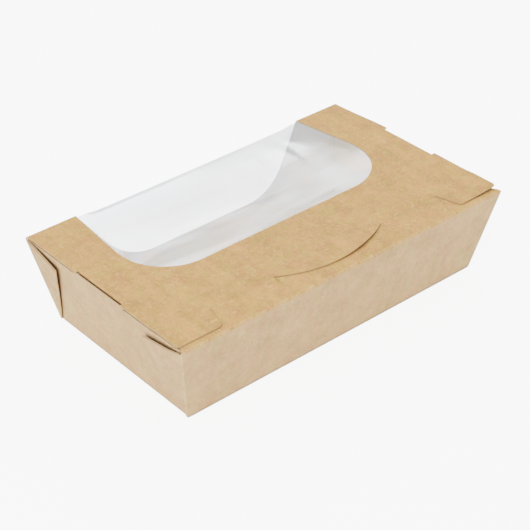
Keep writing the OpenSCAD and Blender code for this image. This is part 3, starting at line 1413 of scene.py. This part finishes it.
class ClosingFlap:
    """The closing flap of the blank, with its tongue, its short slits and its fold."""

    def __init__(self, sizes: BoxSizes, made: HandMade) -> None:
        """Starts the flap.

        Args:
            sizes: Sizes of the box.
            made: What use and folding did to it.
        """
        self.s = sizes
        self.made = made
        self.sheet = Sheet()

    def slit(self, x: float, lean: float) -> list[Point]:
        """A short slit from the flap's edge, entered from the right.

        Args:
            x: Place of its mouth along the box.
            lean: How far its tip lies outwards of its mouth.

        Returns:
            The points of the slit in order.
        """
        s = self.s
        wide = s.cut / 2
        return [
            (x + wide, s.flap_edge),
            (x + lean + s.slit_tip, s.flap_edge - s.slit_length),
            (x + lean - s.slit_tip, s.flap_edge - s.slit_length),
            (x - wide, s.flap_edge),
        ]

    def place(self, p: Point) -> Vector:
        """Lays a flat point on the closed flap, whose tongue goes down under the lid.

        Args:
            p: The flat point.

        Returns:
            The point in the part's frame.
        """
        s = self.s
        drop = s.board * smooth_between(p[1], s.ramp_low, s.ramp_high)
        return Vector((p[0], p[1], s.height - drop))

    def build(self, finishes: Sequence[bpy.types.Material]) -> bpy.types.Object:
        """Builds the closing flap, together with its fold down to the near wall.

        Args:
            finishes: Materials of the printed face, the inner face and the cut edge.

        Returns:
            The flap's object.
        """
        s = self.s
        fold_y = s.top_trim - s.top_corner_y
        fold_x = s.half_x - s.flap_end_setback
        far_corner = (fold_x - s.flap_taper, s.flap_edge)
        tip = (s.tongue_half - s.tongue_taper, s.flap_edge + s.tongue_reach)
        fold_run = line((-fold_x, fold_y), (fold_x, fold_y))
        half = chain_open(
            corner_arc((fold_x, fold_y), far_corner, (s.tongue_half, s.flap_edge), s.flap_corner),
            self.slit(s.ear_far_x - s.cut / 2, -s.slit_lean),
            self.slit(s.tongue_half + s.cut / 2, s.slit_lean),
            corner_arc((s.tongue_half, s.flap_edge), tip, (-tip[0], tip[1]), s.tongue_corner),
        )
        outline = chain(fold_run, half, mirrored(half))
        self.sheet.panel(outline, self.place, UP, cell=3.5, fine=(s.ramp_high + 2, 2.0))
        wall = Planes.of(s).near
        fold_v = s.top_corner_v - s.top_trim
        wall_row = [wall.at(x, fold_v) for x, _ in fold_run]
        lead_row = [wall.at(x, fold_v - self.made.lead) for x, _ in fold_run]
        self.sheet.strip([lead_row, wall_row], wall.normal)
        self.sheet.fold(
            Rim(wall_row, wall.normal, wall.middle()),
            Rim([self.place(p) for p in fold_run], UP, Vector((0, 0, s.height))),
            steps=8,
        )
        self.sheet.weld()
        return self.sheet.solid("closing_flap_board", s.board, finishes)


class WindowFilm:
    """The clear film, one sheet glued inside the lid and the far wall, which bends round the lid's fold.

    Flat points of the film have their place along the box first, and then their distance from the inner
    corner of the lid's fold: below 0 on the lid and above 0 on the far wall.
    """

    FREE_REACH = 7.0
    TIGHT_FROM = 12.0
    TIGHT_AT = 1.0
    CELL = 2.4
    SEED = 7.0

    def __init__(self, sizes: BoxSizes, made: HandMade, shape: LidShape) -> None:
        """Works out where the film turns from the lid to the far wall.

        Args:
            sizes: Sizes of the box.
            made: What use and folding did to it.
            shape: Heights of the closed lid.
        """
        s = sizes
        self.s = sizes
        self.made = made
        self.shape = shape
        self.sheet = Sheet()
        top_z = s.rim - s.film_gap
        inset = (s.board + s.film_gap) / math.cos(s.side_lean)
        self.corner_v = top_z / math.cos(s.side_lean)
        self.corner_y = s.foot_y + top_z * math.tan(s.side_lean) - inset
        self.corner = Vector((0, self.corner_y, top_z))
        self.up_wall = Vector((0, math.sin(s.side_lean), math.cos(s.side_lean)))
        self.window = self.flat_outline(0.0)

    def flat_outline(self, grow: float) -> list[Point]:
        """Draws the window of lid and wall on the flat film.

        Args:
            grow: How much larger the outline is all round.

        Returns:
            The closed outline.
        """
        s = self.s
        lid_half = [(x, y - self.corner_y) for x, y in lid_window(s, self.corner_y, grow)]
        wall_half = [(x, self.corner_v - v) for x, v in far_window(s, self.corner_v, grow)]
        right = chain_open(list(reversed(lid_half)), wall_half)
        return chain(right, mirrored(right))

    def free(self, p: Point) -> float:
        """How freely a flat point can move.

        Args:
            p: The flat point.

        Returns:
            0 where the film is glued, up to 1 well inside the window.
        """
        place = np.array([p])
        if not inside(place, self.window)[0]:
            return 0.0
        return smooth_between(float(clearance(place, self.window)[0]), 0.0, self.FREE_REACH)

    def place(self, p: Point) -> Vector:
        """Puts a flat point of the film in place.

        Args:
            p: The flat point.

        Returns:
            The point in the part's frame.
        """
        s, (x, q) = self.s, p
        half = s.window_fold_half
        loose = 1.0 - smooth_between(abs(x), half - self.TIGHT_FROM, half - self.TIGHT_AT)
        radius = s.film_edge_radius + (self.made.film_radius - s.film_edge_radius) * loose
        trim = fold_trim(radius, s.top_turn)
        handle = 4 / 3 * math.tan(s.top_turn / 4) * radius
        if q <= -trim:
            flat = self.corner + Vector((0, q, 0))
        elif q >= trim:
            flat = self.corner - self.up_wall * q
        else:
            on_lid, on_wall = self.corner - Vector((0, trim, 0)), self.corner - self.up_wall * trim
            first, second = on_lid + Vector((0, handle, 0)), on_wall + self.up_wall * handle
            flat = bezier(on_lid, first, second, on_wall, (q + trim) / (2 * trim))
        lift = self.shape.lift(x, flat.y) if q < 0 else 0.0
        return Vector((x, flat.y, flat.z + lift))

    def build(self, clear: bpy.types.Material, glued: bpy.types.Material) -> bpy.types.Object:
        """Builds the film.

        Args:
            clear: The film's material where it hangs free.
            glued: Its material where it is glued to the board.

        Returns:
            The film's object.
        """
        s, m = self.s, self.made
        self.sheet.panel(self.flat_outline(s.film_glue), self.place, UP, cell=self.CELL, free=self.free)
        self.sheet.weld()
        obj = self.sheet.solid("window_film", s.film_thickness, [clear])
        waves = FilmWaves(
            height=m.film_wave * MM,
            size=m.film_wave_size * MM,
            crease=m.film_crease * MM,
            crease_size=m.film_crease_size * MM,
            seed=self.SEED,
            clear=clear,
            glued=glued,
        )
        waves.add_to(obj)
        obj.modifiers.move(len(obj.modifiers) - 1, 0)
        return obj


class Sketch:
    """A node tree, with short ways to add what this box needs to it."""

    def __init__(self, tree: bpy.types.NodeTree) -> None:
        """Keeps the tree."""
        self.tree = tree

    def add(self, kind: str, **settings: object) -> bpy.types.Node:
        """Adds a node.

        Args:
            kind: Type of the node.
            settings: Values of its properties.

        Returns:
            The node.
        """
        node = self.tree.nodes.new(kind)
        for name, value in settings.items():
            setattr(node, name, value)
        return node

    def feed(self, value: Input, socket: bpy.types.NodeSocket) -> None:
        """Links a socket to an output, or sets it to a number.

        Args:
            value: The output or the number.
            socket: The socket.
        """
        if isinstance(value, bpy.types.NodeSocket):
            self.tree.links.new(value, socket)
        else:
            socket.default_value = value

    def maths(self, operation: str, *values: Input) -> bpy.types.NodeSocket:
        """Adds a sum of numbers.

        Args:
            operation: Name of the operation.
            values: What it works on, in order.

        Returns:
            Its result.
        """
        node = self.add("ShaderNodeMath", operation=operation)
        for value, socket in zip(values, node.inputs):
            self.feed(value, socket)
        return node.outputs["Value"]

    def stretched(self, place: Input, factors: Triple) -> bpy.types.NodeSocket:
        """Scales a place by a factor for each direction.

        Args:
            place: The place.
            factors: The three factors.

        Returns:
            The scaled place.
        """
        node = self.add("ShaderNodeVectorMath", operation="MULTIPLY")
        self.feed(place, node.inputs[0])
        self.feed(factors, node.inputs[1])
        return node.outputs["Vector"]

    def axes(self, place: Input) -> bpy.types.NodeOutputs:
        """Splits a place into its X, Y and Z.

        Args:
            place: The place.

        Returns:
            The outputs of the three numbers.
        """
        node = self.add("ShaderNodeSeparateXYZ")
        self.feed(place, node.inputs[0])
        return node.outputs

    def noise(
        self, place: Input, scale: Input, detail: float, roughness: float, distortion: float = 0.0
    ) -> bpy.types.NodeSocket:
        """Adds a noise.

        Args:
            place: Where it is read.
            scale: How fine it is.
            detail: How many finer layers it has.
            roughness: How strong those are.
            distortion: How far it is twisted.

        Returns:
            Its value.
        """
        node = self.add("ShaderNodeTexNoise")
        self.feed(place, node.inputs["Vector"])
        self.feed(scale, node.inputs["Scale"])
        self.feed(detail, node.inputs["Detail"])
        self.feed(roughness, node.inputs["Roughness"])
        self.feed(distortion, node.inputs["Distortion"])
        return node.outputs["Fac"]

    def ranged(self, value: Input, low: float, high: float) -> bpy.types.NodeSocket:
        """Spreads the values between low and high over 0 to 1, held at its ends.

        Args:
            value: What is spread.
            low: Value that becomes 0.
            high: Value that becomes 1.

        Returns:
            The result.
        """
        node = self.add("ShaderNodeMapRange")
        self.feed(value, node.inputs["Value"])
        self.feed(low, node.inputs["From Min"])
        self.feed(high, node.inputs["From Max"])
        return node.outputs["Result"]

    def blended(self, share: Input, first: Input, second: Input) -> bpy.types.NodeSocket:
        """Mixes two colours.

        Args:
            share: How much of the second colour there is.
            first: The first colour.
            second: The second colour.

        Returns:
            The mixed colour.
        """
        node = self.add("ShaderNodeMix", data_type="RGBA")
        for value, socket in ((share, node.inputs[0]), (first, node.inputs[6]), (second, node.inputs[7])):
            if isinstance(value, tuple):
                value = (*value, 1.0)
            self.feed(value, socket)
        return node.outputs[2]


def group_inputs(tree: bpy.types.NodeTree, kinds: dict[str, str]) -> None:
    """Adds named inputs to a node tree.

    Args:
        tree: The node tree.
        kinds: The kind of each input's socket, by the input's name.
    """
    for name, kind in kinds.items():
        tree.interface.new_socket(name, in_out="INPUT", socket_type=f"NodeSocket{kind}")


def set_inputs(modifier: bpy.types.Modifier, values: dict[str, object]) -> None:
    """Sets a Geometry Nodes modifier's inputs, each by its socket's identifier.

    Args:
        modifier: The modifier.
        values: The values by the inputs' names.
    """
    for item in modifier.node_group.interface.items_tree:
        if item.item_type == "SOCKET" and item.in_out == "INPUT" and item.name in values:
            modifier[item.identifier] = values[item.name]


@dataclass(frozen=True)
class FilmWaves:
    """Soft waves and creases of the film between its glued borders, made with Geometry Nodes.

    The creases fade in along the box from crease_low to crease_high, and stay off the lid's fold between
    fold_far and fold_near. Lengths are metres.
    """

    height: float
    size: float
    crease: float
    crease_size: float
    seed: float
    clear: bpy.types.Material
    glued: bpy.types.Material
    crease_low: float = -10 * MM
    crease_high: float = 50 * MM
    fold_far: float = 57 * MM
    fold_near: float = 42 * MM
    glued_below: float = 0.002

    def heights(self, sketch: Sketch, given: bpy.types.NodeOutputs) -> bpy.types.NodeSocket:
        """Adds the heights of the waves and the creases.

        Args:
            sketch: The node tree.
            given: Its inputs.

        Returns:
            The height over the flat film.
        """
        where = sketch.add("GeometryNodeInputPosition").outputs["Position"]
        wave_scale = sketch.maths("DIVIDE", 1.0, given["Wave size"])
        noise = sketch.noise(sketch.stretched(where, (0.55, 1.3, 1.3)), wave_scale, 1.0, 0.3)
        noise.node.noise_dimensions = "4D"
        sketch.feed(given["Seed"], noise.node.inputs["W"])
        centred = sketch.maths("MULTIPLY_ADD", noise, 2.0, -1.0)
        waves = sketch.maths("MULTIPLY", centred, given["Wave height"])
        crease_scale = sketch.maths("DIVIDE", 1.0, given["Crease size"])
        fine = sketch.noise(sketch.stretched(where, (1.0, 0.55, 0.55)), crease_scale, 0.0, 0.5, 0.7)
        ridge = sketch.maths("ABSOLUTE", sketch.maths("MULTIPLY_ADD", fine, 2.0, -1.0))
        axes = sketch.axes(where)
        right = sketch.ranged(axes["X"], self.crease_low, self.crease_high)
        off_fold = sketch.ranged(axes["Y"], self.fold_far, self.fold_near)
        crumpled = sketch.maths("MULTIPLY", ridge, sketch.maths("MULTIPLY", right, off_fold))
        return sketch.maths("MULTIPLY_ADD", crumpled, given["Crease height"], waves)

    def tree(self) -> bpy.types.NodeTree:
        """Makes the node tree.

        Returns:
            The tree, which moves the film's free points, realizes instances and sets the two materials.
        """
        tree = bpy.data.node_groups.new("film waves", "GeometryNodeTree")
        numbers = ("Wave height", "Wave size", "Crease height", "Crease size", "Seed")
        group_inputs(tree, {"Geometry": "Geometry", **dict.fromkeys(numbers, "Float")})
        group_inputs(tree, {"Clear": "Material", "Glued": "Material"})
        tree.interface.new_socket("Geometry", in_out="OUTPUT", socket_type="NodeSocketGeometry")
        sketch = Sketch(tree)
        given, result = sketch.add("NodeGroupInput").outputs, sketch.add("NodeGroupOutput")
        free_node = sketch.add("GeometryNodeInputNamedAttribute", data_type="FLOAT")
        free_node.inputs["Name"].default_value = "free"
        free = free_node.outputs["Attribute"]
        offset = sketch.add("ShaderNodeVectorMath", operation="SCALE")
        sketch.feed(sketch.add("GeometryNodeInputNormal").outputs["Normal"], offset.inputs[0])
        sketch.feed(sketch.maths("MULTIPLY", self.heights(sketch, given), free), offset.inputs["Scale"])
        moved = sketch.add("GeometryNodeSetPosition")
        sketch.feed(offset.outputs["Vector"], moved.inputs["Offset"])
        real = sketch.add("GeometryNodeRealizeInstances")
        clear = sketch.add("GeometryNodeSetMaterial")
        sketch.feed(given["Clear"], clear.inputs["Material"])
        glued = sketch.add("GeometryNodeSetMaterial")
        sketch.feed(sketch.maths("LESS_THAN", free, self.glued_below), glued.inputs["Selection"])
        sketch.feed(given["Glued"], glued.inputs["Material"])
        geometry = given["Geometry"]
        for node in (moved, real, clear, glued):
            sketch.feed(geometry, node.inputs["Geometry"])
            geometry = node.outputs["Geometry"]
        sketch.feed(geometry, result.inputs["Geometry"])
        return tree

    def add_to(self, obj: bpy.types.Object) -> None:
        """Adds the waves to a film.

        Args:
            obj: The film's object.
        """
        modifier = obj.modifiers.new("Film waves", "NODES")
        modifier.node_group = self.tree()
        set_inputs(
            modifier,
            {
                "Wave height": self.height,
                "Wave size": self.size,
                "Crease height": self.crease,
                "Crease size": self.crease_size,
                "Seed": self.seed,
                "Clear": self.clear,
                "Glued": self.glued,
            },
        )


@dataclass(frozen=True)
class BoardFinish:
    """Colours of a kraft board's printed face in linear light, and how strong each of its marks is.

    The shade painted into narrow gaps reaches gap_shade_reach millimetres, and the bump is bump_depth
    millimetres deep.
    """

    name: str
    dark: Triple
    light: Triple
    speck: Triple
    fleck: Triple
    worn: Triple
    straw: Triple
    rosy: Triple
    # Colour of the shade painted into narrow gaps between layers of board.
    gap: Triple = (0.095, 0.058, 0.032)
    blotch_scale: float = 95.0
    fibre_scale: float = 520.0
    gap_shade_reach: float = 2.0
    streaks: float = 0.3
    tint: float = 0.45
    specks: float = 0.45
    flecks: float = 0.4
    wear: float = 0.7
    bump: float = 0.12
    bump_depth: float = 0.2
    roughness: float = 0.72
    specular: float = 0.35


@dataclass(frozen=True)
class FilmFinish:
    """A clear film, faintly and unevenly hazy, in linear light, whose opacity also paints greyer and
    brighter reflections.

    It grows hazier across the box from haze_and_sheen_from to haze_and_sheen_to, which paints a greyer
    reflection towards the fold, and loses its warmth from warm_from to warm_to, all in millimetres.
    """

    name: str
    cool: Triple
    warm: Triple
    alpha_low: float
    alpha_high: float
    # Strength of the soft bands, partly haziness and partly painted reflection.
    haze_and_sheen: float
    haze_and_sheen_from: float = 18
    haze_and_sheen_to: float = 56
    warm_from: float = 50
    warm_to: float = 10
    haze_and_sheen_scale: float = 62.0
    warm_scale: float = 55.0
    roughness: float = 0.14
    metallic: float = 0.6
    specular: float = 1.0


@dataclass(frozen=True)
class PlainFinish:
    """A finish with one colour, in linear light."""

    name: str
    colour: Triple
    roughness: float
    alpha: float = 1.0
    specular: float = 0.5
    metallic: float = 0.0


def fibre_and_gap_shade_group() -> bpy.types.ShaderNodeTree:
    """A node group with the mottle and the fibres of kraft board, and with a mask for painting shade into
    narrow gaps.

    Returns:
        The group. Its outputs Mottle, Streak, Speck, Fleck, Fibre and Tint, and its ambient-occlusion
        output, are between 0 and 1;
        the last falls to 0 in narrow gaps between two layers of board, where the boards paint shade.
    """
    group = bpy.data.node_groups.new("board fibres and gap shade", "ShaderNodeTree")
    group_inputs(group, {"Place": "Vector"})
    group_inputs(group, dict.fromkeys(("Blotch scale", "Fibre scale", "Gap shade reach"), "Float"))
    for name in ("Mottle", "Streak", "Speck", "Fleck", "Fibre", "Tint", "Unshaded"):
        group.interface.new_socket(name, in_out="OUTPUT", socket_type="NodeSocketFloat")
    sketch = Sketch(group)
    given, result = sketch.add("NodeGroupInput").outputs, sketch.add("NodeGroupOutput")
    place, fine = given["Place"], given["Fibre scale"]

    def spread_noise(
        factors: Triple, scale: float, detail: float, roughness: float, distortion: float = 0.0
    ) -> bpy.types.NodeSocket:
        """A noise on the stretched place, at a share of the fibres' scale."""
        size = fine if scale == 1.0 else sketch.maths("MULTIPLY", fine, scale)
        return sketch.noise(sketch.stretched(place, factors), size, detail, roughness, distortion)

    blotch = sketch.noise(place, given["Blotch scale"], 5.0, 0.62)
    fibre = spread_noise((1.0, 0.7, 0.7), 1.0, 4.0, 0.7, 1.2)
    tint = spread_noise((1.0, 0.8, 0.8), 0.34, 3.0, 0.6)
    streak = spread_noise((1.0, 0.12, 0.12), 0.45, 2.0, 0.5)
    along = spread_noise((0.55, 1.0, 1.0), 1.0, 2.0, 0.6, 2.0)
    across = spread_noise((1.0, 0.55, 0.55), 1.0, 2.0, 0.6, 2.0)
    mottle = sketch.maths("MULTIPLY_ADD", fibre, 0.5, sketch.maths("MULTIPLY", blotch, 0.5))
    speck = sketch.maths("MAXIMUM", sketch.ranged(along, 0.58, 0.76), sketch.ranged(across, 0.58, 0.76))
    fleck = sketch.maths("MAXIMUM", sketch.ranged(along, 0.36, 0.22), sketch.ranged(across, 0.36, 0.22))
    # Ambient occlusion finds narrow gaps, where the boards are painted darker as shade.
    gap = sketch.add("ShaderNodeAmbientOcclusion", samples=8)
    sketch.feed(given["Gap shade reach"], gap.inputs["Distance"])
    for value, name in (
        (sketch.ranged(gap.outputs["AO"], 0.40, 0.98), "Unshaded"),
        (sketch.ranged(mottle, 0.40, 0.60), "Mottle"),
        (sketch.ranged(tint, 0.38, 0.62), "Tint"),
        (sketch.ranged(streak, 0.35, 0.65), "Streak"),
        (speck, "Speck"),
        (fleck, "Fleck"),
        (fibre, "Fibre"),
    ):
        sketch.feed(value, result.inputs[name])
    return group


class Finishes:
    """Makes the materials of the box."""

    def __init__(self) -> None:
        """Builds the node group that the boards share."""
        self.fibres = fibre_and_gap_shade_group()

    def start(self, name: str, **values: float) -> tuple[bpy.types.Material, bpy.types.Node]:
        """Starts a material.

        Args:
            name: Name of the material.
            values: Numbers that are the same all over it, by the shader's sockets in small letters.

        Returns:
            The material and its shader.
        """
        material = bpy.data.materials.new(name)
        material.use_nodes = True
        shader = material.node_tree.nodes["Principled BSDF"]
        sockets = {
            "roughness": "Roughness",
            "metallic": "Metallic",
            "alpha": "Alpha",
            "specular": "Specular IOR Level",
        }
        for key, value in values.items():
            shader.inputs[sockets[key]].default_value = value
        return material, shader

    def board(self, finish: BoardFinish) -> bpy.types.Material:
        """Kraft board with mottle and fibres, and with shade painted into narrow gaps.

        Args:
            finish: Its colours and marks.

        Returns:
            The material.
        """
        material, shader = self.start(finish.name, roughness=finish.roughness, specular=finish.specular)
        sketch = Sketch(material.node_tree)
        fibres = sketch.add("ShaderNodeGroup", node_tree=self.fibres)
        fibres.inputs["Blotch scale"].default_value = finish.blotch_scale
        fibres.inputs["Fibre scale"].default_value = finish.fibre_scale
        fibres.inputs["Gap shade reach"].default_value = finish.gap_shade_reach * MM
        sketch.feed(sketch.add("ShaderNodeTexCoord").outputs["Object"], fibres.inputs["Place"])
        given = fibres.outputs
        share = sketch.maths("MULTIPLY_ADD", given["Streak"], finish.streaks, given["Mottle"])
        share = sketch.maths("MULTIPLY", share, 1 / (1 + finish.streaks))
        colour = sketch.blended(share, finish.dark, finish.light)
        tint = sketch.blended(given["Tint"], finish.straw, finish.rosy)
        colour = sketch.blended(finish.tint, colour, tint)
        specks = sketch.maths("MULTIPLY", given["Speck"], finish.specks)
        colour = sketch.blended(specks, colour, finish.speck)
        flecks = sketch.maths("MULTIPLY", given["Fleck"], finish.flecks)
        colour = sketch.blended(flecks, colour, finish.fleck)
        crease = sketch.add("ShaderNodeAttribute", attribute_name="crease").outputs["Fac"]
        wear = sketch.maths("MULTIPLY", crease, sketch.ranged(given["Fibre"], 0.35, 0.75))
        colour = sketch.blended(sketch.maths("MULTIPLY", wear, finish.wear), colour, finish.worn)
        # Painted shade: the colour darkens towards a dark brown where ambient occlusion finds narrow gaps.
        colour = sketch.blended(given["Unshaded"], finish.gap, colour)
        sketch.feed(colour, shader.inputs["Base Color"])
        bump = sketch.add("ShaderNodeBump")
        bump.inputs["Strength"].default_value = finish.bump
        bump.inputs["Distance"].default_value = finish.bump_depth * MM
        sketch.feed(given["Fibre"], bump.inputs["Height"])
        sketch.feed(bump.outputs["Normal"], shader.inputs["Normal"])
        return material

    def film(self, finish: FilmFinish) -> bpy.types.Material:
        """A clear film, hazier towards its fold and in soft uneven bands, which also paint greyer and
        brighter reflections on it.

        Args:
            finish: Its colours, opacity and gloss.

        Returns:
            The material.
        """
        material, shader = self.start(
            finish.name, roughness=finish.roughness, metallic=finish.metallic, specular=finish.specular
        )
        sketch = Sketch(material.node_tree)
        place = sketch.add("ShaderNodeTexCoord").outputs["Object"]
        across = sketch.axes(place)["Y"]
        # Partly haziness, partly painted reflection: more opacity towards the fold and in soft bands makes
        # the film read greyer there and brighter in between.
        sheen_bands = sketch.noise(sketch.stretched(place, (0.22, 1.0, 1.0)), finish.haze_and_sheen_scale, 2.0, 0.55, 0.5)
        towards_fold = sketch.ranged(across, finish.haze_and_sheen_from * MM, finish.haze_and_sheen_to * MM)
        rise = finish.alpha_high - finish.alpha_low
        alpha = sketch.maths("MULTIPLY_ADD", towards_fold, rise, finish.alpha_low)
        alpha = sketch.maths("MULTIPLY_ADD", sketch.ranged(sheen_bands, 0.40, 0.62), finish.haze_and_sheen, alpha)
        sketch.feed(alpha, shader.inputs["Alpha"])
        patches = sketch.noise(sketch.stretched(place, (1.0, 0.5, 0.5)), finish.warm_scale, 2.0, 0.5, 1.0)
        away = sketch.ranged(across, finish.warm_from * MM, finish.warm_to * MM)
        warmth = sketch.maths("MULTIPLY", sketch.ranged(patches, 0.42, 0.60), away)
        sketch.feed(sketch.blended(warmth, finish.cool, finish.warm), shader.inputs["Base Color"])
        return material

    def plain(self, finish: PlainFinish) -> bpy.types.Material:
        """A finish with one colour.

        Args:
            finish: Its colour and gloss.

        Returns:
            The material.
        """
        material, shader = self.start(
            finish.name,
            roughness=finish.roughness,
            alpha=finish.alpha,
            specular=finish.specular,
            metallic=finish.metallic,
        )
        shader.inputs["Base Color"].default_value = (*finish.colour, 1.0)
        return material


@dataclass(frozen=True)
class Softbox:
    """An area light of the studio, in metres and watts."""

    name: str
    place: Triple
    size: tuple[float, float]
    power: float


@dataclass(frozen=True)
class PhotoCamera:
    """The camera that the photograph was taken with, fitted to the corners of the box."""

    place: Triple = (-0.4045, -0.4834, 0.4454)
    azimuth: float = -39.75
    elevation: float = 34.2
    roll: float = -1.06
    lens: float = 104.87
    sensor: float = 36.0


class Studio:
    """The floor, the lights and the camera."""

    SOFTBOXES = (
        Softbox("key", (-0.80, -0.62, 1.08), (0.9, 0.9), 26.0),
        Softbox("fill", (-1.3, -0.1, 0.6), (0.8, 0.8), 6.5),
        Softbox("back", (0.8, 0.95, 0.97), (1.6, 0.36), 18.0),
    )
    AIM = Vector((0, 0, 0.03)).freeze()
    WHITE = (1.0, 1.0, 1.0, 1.0)
    FLOOR_HALF = 6.0
    FLOOR_COLOUR = (0.92, 0.92, 0.92, 1.0)
    FLOOR_ROUGHNESS = 0.9
    FLOOR_GLOW = 0.7
    FLOOR_SEEN_GLOW = 6.3
    WORLD_STRENGTH = 1.25

    def build(self, camera: PhotoCamera) -> None:
        """Makes the studio.

        Args:
            camera: The camera to set up.
        """
        self.floor()
        for box in self.SOFTBOXES:
            self.softbox(box)
        self.world()
        self.camera(camera)

    def floor(self) -> None:
        """Makes a plain pale floor, which the camera sees brighter than it lights the box."""
        mesh = bpy.data.meshes.new("floor")
        corners = [(self.FLOOR_HALF * x, self.FLOOR_HALF * y, 0) for x, y in SQUARE]
        mesh.from_pydata(corners, [], [(0, 1, 2, 3)])
        floor = bpy.data.objects.new("floor", mesh)
        material = bpy.data.materials.new("floor")
        material.use_nodes = True
        shader = material.node_tree.nodes["Principled BSDF"]
        shader.inputs["Base Color"].default_value = self.FLOOR_COLOUR
        shader.inputs["Roughness"].default_value = self.FLOOR_ROUGHNESS
        shader.inputs["Emission Color"].default_value = self.WHITE
        sketch = Sketch(material.node_tree)
        seen = sketch.add("ShaderNodeLightPath").outputs["Is Camera Ray"]
        glow = sketch.maths("MULTIPLY_ADD", seen, self.FLOOR_SEEN_GLOW, self.FLOOR_GLOW)
        sketch.feed(glow, shader.inputs["Emission Strength"])
        mesh.materials.append(material)
        bpy.context.scene.collection.objects.link(floor)

    def softbox(self, box: Softbox) -> None:
        """Makes an area light that points at the box.

        Args:
            box: The light.
        """
        lamp = bpy.data.lights.new(box.name, "AREA")
        lamp.shape = "RECTANGLE"
        lamp.size, lamp.size_y = box.size
        lamp.energy = box.power
        obj = bpy.data.objects.new(box.name, lamp)
        obj.location = box.place
        obj.rotation_mode = "QUATERNION"
        obj.rotation_quaternion = (self.AIM - Vector(box.place)).to_track_quat("-Z", "Y")
        bpy.context.scene.collection.objects.link(obj)

    def world(self) -> None:
        """Makes an even white surrounding."""
        world = bpy.data.worlds.new("studio")
        bpy.context.scene.world = world
        world.use_nodes = True
        sky = world.node_tree.nodes["Background"]
        sky.inputs["Color"].default_value = self.WHITE
        sky.inputs["Strength"].default_value = self.WORLD_STRENGTH

    def camera(self, camera: PhotoCamera) -> None:
        """Makes the camera.

        Args:
            camera: Its place, its angles and its lens.
        """
        data = bpy.data.cameras.new("camera")
        data.lens = camera.lens
        data.sensor_width = camera.sensor
        obj = bpy.data.objects.new("camera", data)
        a, e = math.radians(camera.azimuth), math.radians(camera.elevation)
        back = Vector((math.sin(a) * math.cos(e), -math.cos(a) * math.cos(e), math.sin(e)))
        obj.rotation_mode = "QUATERNION"
        turn = Quaternion((0, 0, 1), math.radians(camera.roll))
        obj.rotation_quaternion = (-back).to_track_quat("-Z", "Y") @ turn
        obj.location = camera.place
        bpy.context.scene.collection.objects.link(obj)
        bpy.context.scene.camera = obj


def main() -> None:
    """Builds the box and its studio."""
    logging.basicConfig(level=logging.INFO)
    sizes = BoxSizes.from_frame()
    made = HandMade()
    shape = LidShape(sizes, made)
    finishes = Finishes()
    # The tray, the lid and the flap are one board, coloured as two lit copies: this one paler and less
    # yellow, painting the light on the walls.
    wall_lit_kraft = finishes.board(
        BoardFinish(
            "wall_lit_kraft",
            dark=(0.320, 0.195, 0.060),
            light=(0.610, 0.410, 0.150),
            speck=(0.64, 0.46, 0.22),
            fleck=(0.22, 0.13, 0.05),
            worn=(0.62, 0.46, 0.23),
            straw=(0.45, 0.310, 0.088),
            rosy=(0.55, 0.276, 0.120),
            streaks=0.2,
            specks=0.5,
        )
    )
    # The lid's and the flap's copy of the same board, more yellow, painting the light on the top.
    top_lit_kraft = finishes.board(
        BoardFinish(
            "top_lit_kraft",
            dark=(0.26, 0.130, 0.016),
            light=(0.66, 0.365, 0.046),
            speck=(0.86, 0.58, 0.18),
            fleck=(0.20, 0.10, 0.03),
            worn=(0.68, 0.44, 0.15),
            straw=(0.44, 0.280, 0.027),
            rosy=(0.51, 0.232, 0.046),
        )
    )
    inner = finishes.plain(PlainFinish("inner_white", (0.89, 0.84, 0.72), 0.6))
    # The cut edges are darker than bare kraft fibre: partly the edge's own brown, partly shade painted along
    # the board's edges.
    cut = finishes.plain(PlainFinish("cut_edge_and_shade", (0.42, 0.27, 0.11), 0.85))
    clear = finishes.film(
        FilmFinish(
            "clear_film",
            cool=(0.80, 0.85, 0.93),
            warm=(0.92, 0.78, 0.70),
            alpha_low=0.06,
            alpha_high=0.28,
            haze_and_sheen=0.13,
        )
    )
    glued = finishes.plain(PlainFinish("glued_film", (0.80, 0.84, 0.89), 0.2, 0.03, 1.0, 0.3))

    tray = settled(BoardTray(sizes, made).build([wall_lit_kraft, inner, cut]))
    lid = settled(BoardLid(sizes, made, shape).build([top_lit_kraft, inner, cut]))
    flap = settled(ClosingFlap(sizes, made).build([top_lit_kraft, inner, cut]))
    film = settled(WindowFilm(sizes, made, shape).build(clear, glued))

    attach(tray, "tray")
    sin, cos = math.sin(sizes.side_lean), math.cos(sizes.side_lean)
    wall_z = (sizes.top_corner_v - sizes.top_trim) * cos
    wall_y = sizes.foot_y + wall_z * math.tan(sizes.side_lean)
    top_y = sizes.top_corner_y - sizes.top_trim
    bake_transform(lid)
    on_wall, on_flap = (0, -wall_y * MM, wall_z * MM), (0, -top_y * MM, sizes.height * MM)
    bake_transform(flap)
    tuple(on_wall)
    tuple(on_flap)
    trim = fold_trim(made.film_radius, sizes.top_turn)
    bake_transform(film)
    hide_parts("tray")
    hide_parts("lid")
    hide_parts("closing_flap")
    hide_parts("lid_window_film", "wall_window_film")
    Studio().build(PhotoCamera())
    LOG.info("pieces: %s", [o.name for o in (tray, lid, flap, film)])


if __name__ == "__main__":
    main()
